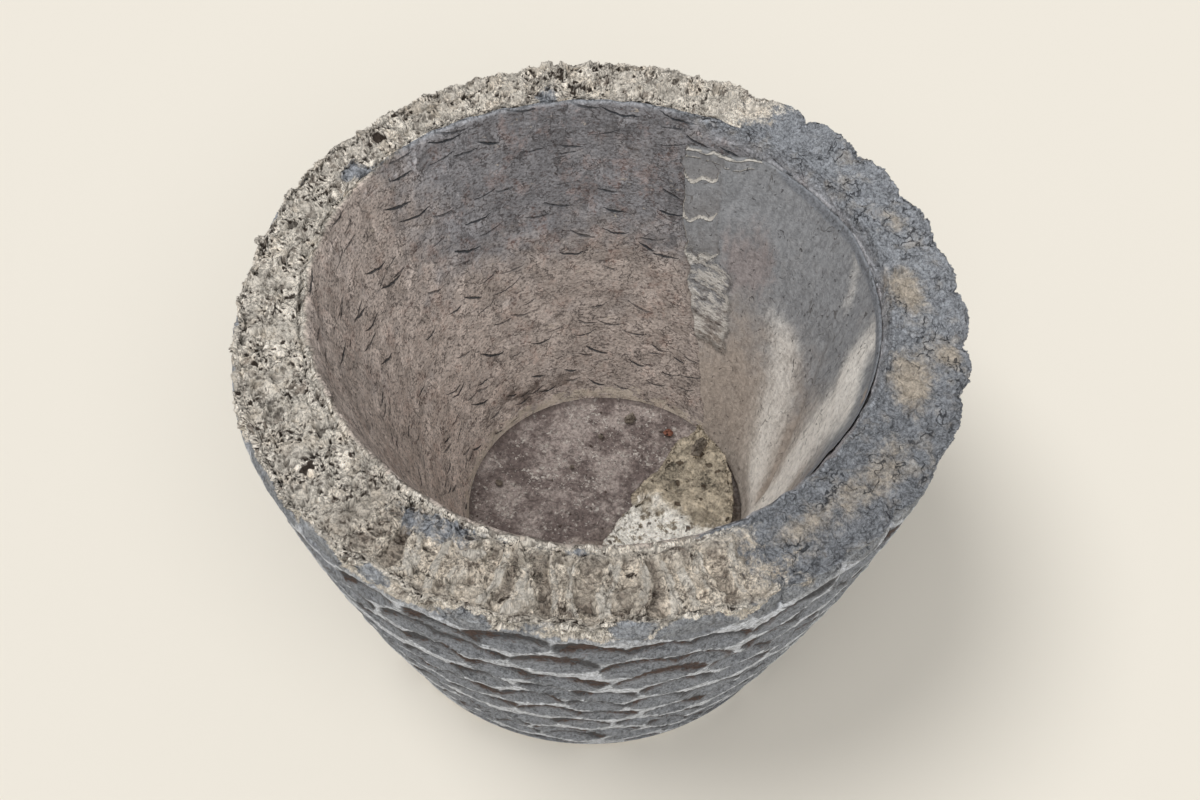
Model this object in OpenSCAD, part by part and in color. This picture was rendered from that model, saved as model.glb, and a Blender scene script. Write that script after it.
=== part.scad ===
/* [Stone vessel] */
// Radius of the rim, over the ridges between the tool marks
rim_r = 308; // [290:1:330]
// Height of the vessel, from the ground to the rim
vessel_h = 387; // [355:1:420]
// Radius of the foot
foot_r = 215; // [200:5:225]
// How far the outer wall swells past a straight taper
belly = 8; // [0:1:14]
// Width of the knocked-off edge round the foot
foot_edge = 5; // [2:1:10]
// How far the hand-cut rim strays from a true circle
out_of_round = 5; // [0:0.5:6]

/* [Hewn outside] */
// Tool marks in one course
marks_round = 32; // [24:1:34]
// Courses of tool marks, from the foot to the rim
mark_courses = 10; // [7:1:11]
// Depth of a tool mark
mark_depth = 8; // [2:0.5:10]
// Share of the top course that the rim cuts off, so that its marks bite into the rim's edge
course_cut = 0.4; // [0:0.05:0.5]

/* [Rim] */
// Height of the worn edges of the rim
rim_edge = 6; // [3:0.5:10]
// Depth of the broken lumps on the left of the rim, which fade to its smoother right
rim_rough = 7; // [0:0.5:9]
// Depth of the notches between the rounded lobes on the right of the rim
lobe_depth = 8; // [0:0.5:10]
// How far down from the rim the lobes reach
lobe_drop = 50; // [30:1:80]

/* [Hollow] */
// Radius of the mouth, at the rim's inner edge
mouth_r = 240; // [225:1:250]
// Radius of the hollow where it meets its stone floor
floor_r = 124; // [112:1:135]
// Thickness of the stone under the hollow
base_t = 48; // [40:1:60]
// How far the mouth sits towards the back
mouth_shift = 10; // [0:1:12]
// How far the hollow's floor sits to the right
floor_shift = 18; // [0:1:24]
// Depth of the dressing marks on the wall of the hollow
dress_depth = 3; // [0:0.5:5]
// Radius of the drain hole through the base
drain_r = 16; // [10:1:20]

/* [Lime lining] */
// Thickness of the lining where it is whole
lining_t = 8; // [6:0.5:10]
// How far the lining's top stays below the rim
lining_drop = 34; // [25:1:45]
// Where the lining fades out, in degrees round the hollow
lining_start = -32; // [-45:1:-20]
// Where the lining's broken edge meets its top, in degrees
lining_end = 72; // [60:1:80]
// How far the broken edge sweeps round on its way down, in degrees
seam_sweep = 31; // [20:1:40]
// Gouged flutes across the lining
flutes = 9; // [6:1:11]
// Depth of a flute
flute_depth = 3; // [1:0.5:3.5]
// Rise and fall of the lining's scalloped top
lip_scallop = 6; // [0:0.5:8]
// How far the broken edge strays to each side, in degrees
seam_ragged = 0.75; // [0:0.05:1.5]

/* [Bed] */
// Depth of the drainage gravel
gravel_t = 16; // [14:1:20]
// Diameter of a pebble
pebble_d = 26; // [20:1:30]
// Depth of the soil over the gravel
soil_t = 16; // [10:1:24]
// Unevenness of the top of the soil
bed_rough = 3; // [0:0.5:4]
// Width of the broken pot over the drain hole
crock_w = 60; // [50:1:64]
// Length of the broken pot over the drain hole
crock_l = 70; // [56:1:80]
// Thickness of the broken pot
crock_t = 6; // [4:0.5:7]
// Inner radius of the pot that it broke from
crock_r = 64; // [60:1:100]

/* [Loose stones] */
// How far the pale stone reaches from the wall towards the middle
pale_w = 102; // [80:1:104]
// Height of the pale stone
pale_h = 34; // [26:1:40]
// Gap between the pale stone and the lined wall
pale_gap = 3; // [2:0.5:8]
// Length of the dark wedge on the pale stone
wedge_l = 28; // [20:1:34]
// Height of the dark wedge
wedge_h = 13; // [9:1:18]
// Width of the largest chip on the bed
chip_w = 17; // [10:1:20]

/* [Fit] */
// Gap left where a piece lies on or against another
clearance = 0.3; // [0.2:0.1:0.5]

/* [Hidden] */

cuts_per_mark = 4;
rows_per_course = 3;
columns = marks_round * cuts_per_mark;
wall_rows = mark_courses * rows_per_course;
hollow_rows = 9;
rim_rows = 6;
rim_low = vessel_h - rim_edge;

soil_low = base_t + gravel_t;
bed_z = soil_low + soil_t;
bed_columns = columns / 2;
bed_rings = [0.22, 0.42, 0.62, 0.81];

// Chips on the bed: the ring and the angle that each lies at, and its share of the largest one's width
chips = [[3, 57, 0.8], [3, 78, 1], [2, 96, 0.5], [3, 168, 0.62], [1, 131, 0.45], [2, 215, 0.7], [3, 246, 0.5]];

// The pale stone's outline, as angles about the bed's middle and shares of its width in from the wall
pale_outline = [[-27, 0.03], [-13, 0.01], [0, 0], [12, 0.01], [24, 0], [35, 0.01], [43, 0.03], [48, 0.14],
                [48, 0.3], [44, 0.47], [38, 0.66], [37, 0.82], [29, 0.96], [-13, 0.96], [-65, 1],
                [-83, 0.84], [-99, 0.66], [-82, 0.46], [-67, 0.28], [-54, 0.13], [-40, 0.05]];

// The pale stone's layers: how far each is drawn in, its share of the height, and its unevenness
pale_layers = [[0, 0, 0], [1.5, 0.45, 2], [5, 0.8, 3], [14, 1, 4], [24, 1, 3], [34, 0.96, 0]];

// The wedge's seat: the layer of the pale stone, and the point of its outline
pale_seat = [4, 5];

// Where its outline is nearer to the wall than this share of its width, the pale stone leans with the wall:
// its sides follow this share of the wall's slope, and its layers are drawn in by this share
by_wall = 0.06;
wall_lean = 0.8;
wall_inset = 0.4;

pale_z = bed_z + clearance;
wedge_z = pale_z + pale_h + clearance;

// A number from 0 to 1 that depends only on a and b
function chance(a, b) = let (s = sin(a * 127.1 + b * 311.7 + 17) * 4375.85) s - floor(s);

// The smooth outer wall, and how far a hewn block strays from round towards its rim
function outer_r(a, z) =
    let (t = z / vessel_h)
    foot_r + (rim_r - foot_r) * t + belly * 4 * t * (1 - t)
    + out_of_round * t * (0.6 * cos(2 * a - 144) + 0.5 * cos(3 * a - 315));

// The wall of the hollow: straight from its floor to its mouth, each with a middle of its own
function hollow_share(z) = (z - base_t) / (vessel_h - base_t);
function hollow_middle(z) =
    let (t = hollow_share(z))
    [floor_shift * (1 - t), mouth_shift * t];
function hollow_r(a, z) =
    let (t = hollow_share(z))
    floor_r + (mouth_r - floor_r) * t + 0.6 * out_of_round * t * cos(3 * a - 90);
function hollow_point(a, z, inset = 0) =
    let (m = hollow_middle(z), r = hollow_r(a, z) - inset)
    [m.x + r * cos(a), m.y + r * sin(a), z];

// One scalloped tool mark, as a depth at column place u and course place v
function one_mark(n, c, u, v) =
    let (m = (n + marks_round) % marks_round,
         across = u - n - (c % 2) / 2 - 0.3 * (chance(m, c) - 0.5),
         along = 1.1 * (v - c - 0.5 - 0.3 * (chance(m + 50, c) - 0.5)),
         deepest = mark_depth * (0.65 + 0.35 * chance(m, c + 70)))
    deepest * (1 - (across * across + along * along) / 0.42);
function mark(u, v) =
    max(0, max([for (c = [floor(v) - 1 : floor(v) + 1])
        for (n = [floor(u) - 1 : floor(u) + 1]) one_mark(n, c, u, v)]));

// How rough the rim is: broken on the left, smoother on the right
function ragged(a) = 0.4 + 0.6 * min(1, max(0, 1.44 - 2.56 * cos(a + 3)));

// How far a point lies into the notches of the rim's right, which leave a lobe over each mark of the top course
function notch(i) =
    let (off = abs((i % cuts_per_mark) / cuts_per_mark - 0.5) * 2,
         right = min(1, 1.6 * max(0, cos(360 * i / columns))))
    right * pow(1 - off, 2.4) * (0.55 + 0.45 * chance(floor(i / cuts_per_mark + 0.5), 90));

// On the right the tool marks give way to the lobes, from this height up
function lobed(i, z) =
    min(1, 1.6 * max(0, cos(360 * i / columns))) * min(1, max(0, (z - vessel_h + lobe_drop) / (0.6 * lobe_drop)));

function outer_ring(k) =
    [for (i = [0 : columns - 1])
        let (a = 360 * i / columns,
             bite = k == wall_rows ? 0.5 * rim_rough * ragged(a) * chance(i, 19) : 0,
             z = foot_edge + (rim_low - foot_edge) * k / wall_rows - bite,
             cut = k == 0 ? 0 : mark(i / cuts_per_mark, k / rows_per_course - course_cut) * (1 - lobed(i, z))
                 + lobe_depth * notch(i) * lobed(i, z),
             r = outer_r(a, z) - cut)
        [r * cos(a), r * sin(a), z]];

function foot_ring() =
    [for (i = [0 : columns - 1])
        let (a = 360 * i / columns, r = foot_r - foot_edge)
        [r * cos(a), r * sin(a), 0]];

function hollow_ring(k) =
    [for (i = [0 : columns - 1])
        let (a = 360 * i / columns,
             z = base_t + (rim_low - base_t) * k / hollow_rows,
             cut = k == hollow_rows ? 0.4 * lobe_depth * notch(i) : k < 2 ? 0 : dress_depth * chance(i, k))
        hollow_point(a, z, -cut)];

// A row of points along the top of the rim, broken into lumps that are lower where the rim's edge is worn
function rim_ring(k) =
    let (outer = outer_ring(wall_rows), inner = hollow_ring(hollow_rows), share = (k + 0.5) / rim_rows,
         at_edge = k == 0 || k == rim_rows - 1, worn = at_edge ? 0.25 * rim_edge : 0, lump = at_edge ? 0.4 : 1)
    [for (i = [0 : columns - 1])
        let (p = outer[i] + (inner[i] - outer[i]) * share, broken = rim_rough * lump * chance(i, k + 20))
        [p.x, p.y, vessel_h - worn - broken * ragged(360 * i / columns) - lobe_depth * notch(i) * (1 - 0.6 * share)]];

// A closed skin over rings of points, each with as many points as the next
module skin(rings) {
    n = len(rings[0]);
    last = len(rings) - 1;
    walls = [for (k = [0 : last - 1]) for (i = [0 : n - 1])
        let (a = k * n + i, b = k * n + (i + 1) % n, c = b + n, d = a + n)
        each [[a, c, b], [a, d, c]]];
    ends = [[for (i = [0 : n - 1]) i], [for (i = [n - 1 : -1 : 0]) last * n + i]];
    polyhedron([for (r = rings) each r], concat(walls, ends), convexity = 4);
}

// A closed slab between a front and a back grid of points, both as rows
module slab(front, back) {
    rows = len(front) - 1;
    n = len(front[0]);
    behind = (rows + 1) * n;
    faces = [for (k = [0 : rows - 1]) for (i = [0 : n - 2])
        let (a = k * n + i, b = a + 1, c = b + n, d = a + n)
        each [[a, b, c], [a, c, d], [behind + a, behind + c, behind + b], [behind + a, behind + d, behind + c]]];
    sides = [for (k = [0 : rows - 1])
        let (a = k * n, d = a + n, b = a + n - 1, c = d + n - 1)
        each [[a, d, behind + d], [a, behind + d, behind + a], [b, behind + c, c], [b, behind + b, behind + c]]];
    ends = [for (i = [0 : n - 2])
        let (a = i, b = a + 1, d = rows * n + i, c = d + 1)
        each [[a, behind + b, b], [a, behind + a, behind + b], [d, c, behind + c], [d, behind + c, behind + d]]];
    polyhedron(concat([for (r = front) each r], [for (r = back) each r]), concat(faces, sides, ends), convexity = 4);
}

// An angular stone: an uneven outline at its foot, drawn in towards a smaller top
module angular_stone(width, length, height, corners, seed, lean = 0) {
    function ring(share, z, shift) =
        [for (i = [0 : corners - 1])
            let (a = 360 * (i + 0.5 * chance(i, seed)) / corners, r = share * (0.8 + 0.2 * chance(i, seed + 5)) / 2)
            [shift + length * r * cos(a), width * r * sin(a), z]];
    skin([ring(1, 0, 0), ring(0.92, 0.5 * height, 0.5 * lean), ring(0.5, height, lean)]);
}

module stone_body() {
    color("#8f8c88")
    difference() {
        skin([
            foot_ring(),
            for (k = [0 : wall_rows]) outer_ring(k),
            for (k = [0 : rim_rows - 1]) rim_ring(k),
            for (k = [hollow_rows : -1 : 0]) hollow_ring(k),
        ]);
        translate([0, 0, -1]) cylinder(r = drain_r, h = base_t + 2, $fn = 64);
    }
}

// The lining lies on the right of the hollow, from the bed up to a scalloped lip
module lime_lining() {
    cuts_per_flute = 4;
    cuts = flutes * cuts_per_flute;
    rows = 9;
    low = bed_z + clearance;
    function scoop(u) = abs(sin(180 * flutes * u));
    function height(u, v) = low + (vessel_h - lining_drop - lip_scallop * (1 - scoop(u)) - low) * v;
    function seam(z) = lining_end - seam_sweep * pow(max(0, 1 - (z - bed_z) / (vessel_h - bed_z)), 2.2);
    function angle(u, v) =
        let (z = height(u, v), stray = 2 * seam_ragged * (chance(rows * v, 3) - 0.5))
        lining_start + (seam(z) + stray - lining_start) * u;
    function thickness(u, v) =
        let (faded = min(1, 0.35 + 5 * u) * min(1, 0.4 + 4 * (1 - v)) * min(1, 0.7 + 6 * (1 - u)),
             broken = 0.65 + 0.35 * cos(360 * (2.5 * v + chance(floor(flutes * u), 8))))
        faded * (lining_t - flute_depth * scoop(u) * broken);
    color("#cfc9bd")
    slab(
        [for (k = [0 : rows]) [for (i = [0 : cuts])
            let (u = i / cuts, v = k / rows)
            hollow_point(angle(u, v), height(u, v), clearance + thickness(u, v))]],
        [for (k = [0 : rows]) [for (i = [0 : cuts])
            let (u = i / cuts, v = k / rows)
            hollow_point(angle(u, v), height(u, v), clearance)]]);
}

// A curved piece of a broken pot, arched over the drain hole
module drain_crock() {
    sag = sqrt(crock_r * crock_r - crock_w * crock_w / 4);
    color("#a9623f")
    intersection() {
        translate([0, 0, base_t + clearance - sag])
            rotate([90, 0, 0])
                difference() {
                    cylinder(r = crock_r + crock_t, h = 2 * crock_l, center = true, $fn = 96);
                    cylinder(r = crock_r, h = 2 * crock_l + 2, center = true, $fn = 96);
                }
        translate([0, 0, base_t + clearance])
            linear_extrude(gravel_t)
                polygon([[-0.5 * crock_w, -0.38 * crock_l], [-0.1 * crock_w, -0.5 * crock_l],
                         [0.5 * crock_w, -0.3 * crock_l], [0.5 * crock_w, 0.36 * crock_l],
                         [0.14 * crock_w, 0.5 * crock_l], [-0.5 * crock_w, 0.3 * crock_l]]);
    }
}

// One layer of rounded pebbles, clear of the broken pot
module drainage_gravel() {
    step = pebble_d + 2 * clearance;
    reach = ceil(floor_r / step) + 1;
    crock_reach = norm([crock_w, crock_l]) / 2 + clearance;
    h = gravel_t - 2 * clearance;
    r = pebble_d / 2;
    color("#8a857b")
    for (i = [-reach : reach]) for (j = [-reach : reach]) {
        x = step * (i + j / 2);
        y = step * j * sqrt(3) / 2;
        if (norm([x, y]) + r + clearance < floor_r && norm([x + floor_shift, y]) > crock_reach + r)
            translate([floor_shift + x, y, base_t + clearance])
                rotate_extrude($fn = 32)
                    polygon([[0, 0], [0.55 * r, 0], [0.88 * r, 0.2 * h], [r, 0.5 * h],
                             [0.86 * r, 0.8 * h], [0.5 * r, h], [0, h]]);
    }
}

function bed_angle(i) = 360 * i / bed_columns;
function chip_column(chip) = round(chip[1] / 360 * bed_columns);
function holds_chip(ring, i) = len([for (c = chips) if (c[0] == ring && chip_column(c) == i) 1]) > 0;
function bed_point(ring, i) =
    let (edge = hollow_point(bed_angle(i), bed_z, clearance), m = hollow_middle(bed_z),
         dip = ring == 0 ? 0.5 : holds_chip(ring, i) ? 0 : chance(i, ring + 30))
    [m.x + (edge.x - m.x) * bed_rings[ring], m.y + (edge.y - m.y) * bed_rings[ring], bed_z - bed_rough * dip];

// Packed soil that fills the hollow's foot, with a trodden, uneven top
module soil_bed() {
    low = soil_low;
    color("#6d625b")
    skin([
        [for (i = [0 : bed_columns - 1]) hollow_point(bed_angle(i), low, clearance)],
        [for (i = [0 : bed_columns - 1])
            hollow_point(bed_angle(i), bed_z - 0.5 * bed_rough * chance(i, 40), clearance)],
        for (ring = [len(bed_rings) - 1 : -1 : 0]) [for (i = [0 : bed_columns - 1]) bed_point(ring, i)],
    ]);
}

// Small angular stones left on the bed, each over a high spot of the soil
module loose_chips() {
    color("#57504a")
    for (k = [0 : len(chips) - 1]) {
        place = bed_point(chips[k][0], chip_column(chips[k]));
        size = chip_w * chips[k][2];
        translate(place + [0, 0, clearance])
            rotate([0, 0, 47 * k])
                angular_stone(0.8 * size, size, 0.5 * size, 6, k);
    }
}

// One layer of the pale stone, with the wedge's seat as its highest point
function pale_ring(k) =
    let (m = hollow_middle(bed_z), room = hollow_r(90, bed_z) - lining_t - 2 * clearance - pale_gap,
         z = pale_layers[k][1] * pale_h, lean = wall_lean * z * (mouth_r - floor_r) / (vessel_h - base_t),
         outline = [for (p = pale_outline)
             let (r = room - pale_w * p[1])
             [m.x + r * cos(p[0]), m.y + r * sin(p[0])]],
         middle = [for (q = [0, 1]) ([for (p = outline) p[q]] * [for (p = outline) 1]) / len(outline)])
    [for (i = [0 : len(outline) - 1])
        let (p = outline[i] - middle, worn = pale_layers[k][0] * (0.7 + 0.6 * chance(i, 60)),
             leans = k < pale_seat[0] && pale_outline[i][1] < by_wall,
             q = middle + p * (1 - (leans ? wall_inset * worn - lean : worn) / norm(p)),
             low = [k, i] == pale_seat ? 0 : pale_layers[k][2] * chance(i, z))
        [q.x, q.y, pale_z + z - low]];

// A pitted block that lies along the right wall, square at its foot and worn round on top
module pale_stone() {
    color("#b9b19c")
    skin([for (k = [0 : len(pale_layers) - 1]) pale_ring(k)]);
}

// A dark wedge of stone on the far end of the pale one
module stone_fragment() {
    seat = pale_ring(pale_seat[0])[pale_seat[1]];
    color("#4d463f")
    translate([seat.x, seat.y, wedge_z])
        rotate([0, 0, 62])
            angular_stone(0.62 * wedge_l, wedge_l, wedge_h, 5, 12, 0.12 * wedge_l);
}

stone_body();
lime_lining();
drain_crock();
drainage_gravel();
soil_bed();
loose_chips();
pale_stone();
stone_fragment();
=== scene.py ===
"""A hand-hewn stone planter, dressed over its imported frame.

The planter is one block of stone with a thick, ragged rim and a tapered hollow. Sizes are in metres in the
frame's own axes: +Z is up, +Y points to the back of the photograph and +X to its right. Azimuths are in
degrees from +X towards +Y.
"""

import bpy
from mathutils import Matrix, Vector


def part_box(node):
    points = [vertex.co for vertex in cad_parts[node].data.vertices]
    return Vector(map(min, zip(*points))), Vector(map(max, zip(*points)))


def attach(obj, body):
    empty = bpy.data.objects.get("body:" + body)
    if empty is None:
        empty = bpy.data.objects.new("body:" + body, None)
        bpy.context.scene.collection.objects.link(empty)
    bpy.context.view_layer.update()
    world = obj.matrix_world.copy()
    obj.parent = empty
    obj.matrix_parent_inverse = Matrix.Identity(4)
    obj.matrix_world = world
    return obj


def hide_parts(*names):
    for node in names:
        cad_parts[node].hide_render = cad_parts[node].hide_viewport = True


bl_info = {
    "name": "Stone planter",
    "version": (1, 0, 0),
    "blender": (4, 5, 0),
    "location": "3D View > Sidebar > Planter",
    "description": "Makes a hand-hewn stone planter with its lime lining, its bed and its loose stones",
    "category": "Add Mesh",
}

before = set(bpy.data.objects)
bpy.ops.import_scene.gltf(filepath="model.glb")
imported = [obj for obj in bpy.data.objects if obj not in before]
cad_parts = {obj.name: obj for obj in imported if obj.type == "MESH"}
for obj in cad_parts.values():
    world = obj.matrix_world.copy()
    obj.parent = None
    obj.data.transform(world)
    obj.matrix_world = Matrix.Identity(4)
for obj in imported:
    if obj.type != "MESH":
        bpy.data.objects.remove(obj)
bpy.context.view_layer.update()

import math

import bmesh
import bpy
import numpy as np
from bpy.props import FloatProperty, FloatVectorProperty, IntProperty, PointerProperty
from mathutils import Matrix, Vector

# The camera that fits the photograph's rim, mouth, bed and foot
CAMERA_PLACE = Vector((-0.00477, -0.78967, 1.26929))
CAMERA_PITCH = math.radians(52.253)
CAMERA_YAW = math.radians(0.683)
CAMERA_ROLL = math.radians(2.83)
SENSOR_WIDTH = 36.0
PICTURE_WIDTH = 1200
FOCAL_PIXELS = 1456.0

FLOOR_HALF = 12.0
# Each soft light's width, its azimuth and its height over the horizon, in degrees
SOFT_LIGHTS = {"key": (26, 183, 67), "fill": (56, -82, 54)}

# How far below the rim's top the rim's own mesh meets the vessel's, outside and inside
SEAM_OUT = 0.034
SEAM_IN = 0.024
# How far each of the two goes on under the other, and how far below its surface
TUCK_UNDER = 0.0025
TUCK_IN = 0.0010
# How far the outside stands in from the solid's ridges
OUTSIDE_INSET = 0.0015
# Thin air between the solids of the lining, the bed and the stone
CLEARANCE = 0.0003
# The hollow's radius at which the chisel cuts have their size
WALL_RADIUS = 0.2
# The middles of the two soft hollows in the pale block, darker with painted shade
SHADED_HOLLOWS = ((0.081, 0.025, 0.114), (0.110, 0.018, 0.114))


def shade(red, green, blue):
    """A colour as it shows on a screen, from 0 to 255, turned into linear light."""
    def linear(value):
        value = value / 255
        return value / 12.92 if value <= 0.04045 else ((value + 0.055) / 1.055) ** 2.4
    return (linear(red), linear(green), linear(blue), 1.0)


def smooth(x, low, high):
    """0 up to low, 1 from high, and an even curve between."""
    t = np.clip((x - low) / (high - low), 0.0, 1.0)
    return t * t * (3 - 2 * t)


def fade(x, low, high):
    """1 up to low, 0 from high, and an even curve between."""
    return smooth(-x, -high, -low)


def chance(a, b):
    """A number from 0 to 1 that depends only on a and b, as in the solids."""
    s = np.sin(np.radians(a * 127.1 + b * 311.7 + 17)) * 4375.85
    return s - np.floor(s)


def turn_gap(azimuth, middle):
    """How far an azimuth lies from a middle one, in degrees, the short way round."""
    return np.abs((azimuth - middle + 180) % 360 - 180)


class Wire:
    """A socket that adds Math nodes when Python's operators work on it."""

    def __init__(self, bench, socket):
        self.bench = bench
        self.socket = socket

    def __add__(self, other):
        return self.bench.math("ADD", self, other)

    def __sub__(self, other):
        return self.bench.math("SUBTRACT", self, other)

    def __rsub__(self, other):
        return self.bench.math("SUBTRACT", other, self)

    def __mul__(self, other):
        return self.bench.math("MULTIPLY", self, other)

    def __truediv__(self, other):
        return self.bench.math("DIVIDE", self, other)

    def __abs__(self):
        return self.bench.math("ABSOLUTE", self)

    __radd__ = __add__
    __rmul__ = __mul__

    def sway(self, amount):
        """A share from 0 to 1, centred on 0 and made this wide."""
        return (self - 0.5) * amount


class Bench:
    """Lays nodes in one tree, for a material or for geometry."""

    def __init__(self, tree):
        self.tree = tree

    def node(self, kind, settings=None, **values):
        """Adds a node. Its settings come first, and then a value or a wire for each of its named inputs."""
        made = self.tree.nodes.new(kind)
        for name, value in (settings or {}).items():
            setattr(made, name, value)
        for name, value in values.items():
            self.plug(made.inputs[name.replace("_", " ")], value)
        return made

    def plug(self, socket, value):
        if isinstance(value, Wire):
            self.tree.links.new(value.socket, socket)
        else:
            socket.default_value = value[:3] if socket.type == "VECTOR" else value

    def wire(self, node, output=0):
        return Wire(self, node.outputs[output])

    def out(self, output, kind, settings=None, **values):
        """One output of a new node."""
        return self.wire(self.node(kind, settings, **values), output)

    def operate(self, kind, operation, values, output=0):
        """The result of a new node that works on its inputs in their order."""
        made = self.node(kind, {"operation": operation})
        for socket, value in zip(made.inputs, values):
            self.plug(socket, value)
        return self.wire(made, output)

    def math(self, operation, *values):
        return self.operate("ShaderNodeMath", operation, values)

    def most(self, a, b):
        return self.math("MAXIMUM", a, b)

    def vector(self, operation, a, b, output="Vector"):
        return self.operate("ShaderNodeVectorMath", operation, (a, b), output)

    def tint(self, colour, amount):
        """A colour made lighter or darker, or a vector made longer or shorter, by a number."""
        return self.out("Vector", "ShaderNodeVectorMath", {"operation": "SCALE"}, Vector=colour, Scale=amount)

    def bend(self, place, swirl, amount):
        """A place moved about by a coloured noise."""
        return self.vector("ADD", place, self.tint(swirl, amount))

    def squat(self, place, times):
        """A place for noise whose lumps are this many times wider than they are high."""
        return self.vector("MULTIPLY", place, (1.0, 1.0, times))

    def slope(self, place, cells):
        """How high a place lies on its cell's own slope. Each cell leans another way."""
        lean = self.vector("SUBTRACT", self.wire(cells, "Color"), (0.5, 0.5, 0.5))
        from_middle = self.vector("SUBTRACT", place, self.wire(cells, "Position"))
        return self.vector("DOT_PRODUCT", from_middle, lean, "Value")

    def step(self, value, low, high):
        """0 up to low and 1 from high. With low above high it runs the other way."""
        found = self.out("Result", "ShaderNodeMapRange", {"interpolation_type": "SMOOTHSTEP"}, Value=value,
                         From_Min=min(low, high), From_Max=max(low, high))
        return found if low < high else 1 - found

    def noise(self, place, size, detail, roughness, seed, output="Fac", warp=0.0):
        """Noise whose lumps are about size metres wide. Each seed is another part of the same noise."""
        moved = self.vector("ADD", place, (0.37 * seed, 0.11 * seed, -0.23 * seed))
        return self.out(output, "ShaderNodeTexNoise", Vector=moved, Scale=1 / size, Detail=detail,
                        Roughness=roughness, Distortion=warp)

    def cells(self, place, size, randomness=1.0):
        """Cells about size metres wide."""
        return self.node("ShaderNodeTexVoronoi", Vector=place, Scale=1 / size, Randomness=randomness)

    def parts(self, vector):
        made = self.node("ShaderNodeSeparateXYZ", Vector=vector)
        return [self.wire(made, i) for i in range(3)]

    def mix(self, factor, a, b):
        """A colour between a and b."""
        made = self.node("ShaderNodeMix", {"data_type": "RGBA"})
        sockets = [socket for socket in made.inputs if socket.enabled]
        for socket, value in zip(sockets, (factor, a, b)):
            self.plug(socket, value)
        return next(self.wire(made, i) for i, socket in enumerate(made.outputs) if socket.enabled)

    def coats(self, colour, *coats):
        """A colour with others laid over it in turn, each with the share of it that shows."""
        for share, over in coats:
            colour = self.mix(share, colour, over)
        return colour

    def attribute(self, name, output="Fac"):
        return self.out(output, "ShaderNodeAttribute", {"attribute_name": name})

    def store(self, geometry, name, value, kind="FLOAT", domain="POINT"):
        """Geometry that holds a value under a name."""
        return self.out("Geometry", "GeometryNodeStoreNamedAttribute", {"data_type": kind, "domain": domain},
                        Geometry=geometry, Name=name, Value=value)


def length(name, description, default):
    return FloatProperty(name=name, description=description, default=default, unit="LENGTH")


def number(name, description, default):
    return FloatProperty(name=name, description=description, default=default)


def count(name, description, default):
    return IntProperty(name=name, description=description, default=default)


class PlanterSizes(bpy.types.PropertyGroup):
    """Sizes of the vessel, which match the solids."""

    rim_radius: length("Rim radius", "Radius over the ridges at the rim", 0.308)
    height: length("Height", "From the ground to the rim", 0.387)
    foot_radius: length("Foot radius", "Radius of the foot", 0.215)
    foot_edge: length("Foot edge", "Width of the knocked-off edge round the foot", 0.005)
    belly: length("Belly", "Swell of the outer wall", 0.008)
    stray: length("Out of round", "How far the rim strays from a circle", 0.005)
    marks_round: count("Marks in a course", "Tool marks round the vessel", 32)
    courses: count("Courses", "Courses of tool marks", 10)
    mark_depth: length("Mark depth", "Depth of a tool mark", 0.008)
    course_cut: number("Course cut", "Share of the top course that the rim cuts off", 0.4)
    rim_edge: length("Rim edge", "Height of the rim's worn edges", 0.006)
    lobe_depth: length("Lobe depth", "Depth of the grooves between the rim's lobes", 0.008)
    lobe_drop: length("Lobe drop", "How far down from the rim the lobes reach", 0.050)
    rim_rough: length("Rim roughness", "Depth of the broken lumps of the rim", 0.007)
    mouth_radius: length("Mouth radius", "Radius at the rim's inner edge", 0.240)
    floor_radius: length("Floor radius", "Radius of the hollow at its stone floor", 0.124)
    base: length("Base", "Stone under the hollow", 0.048)
    mouth_shift: length("Mouth shift", "How far the mouth sits to the back", 0.010)
    floor_shift: length("Floor shift", "How far the hollow's floor sits to the right", 0.018)
    drain_radius: length("Drain radius", "Radius of the drain hole", 0.016)
    lining: length("Lining", "Thickness of the whole lining", 0.008)
    bed: length("Bed", "Height of the bed's top", 0.080)


def paint(name, description, red, green, blue):
    return FloatVectorProperty(name=name, description=description, subtype="COLOR", size=4, min=0, max=1,
                               default=shade(red, green, blue))


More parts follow.
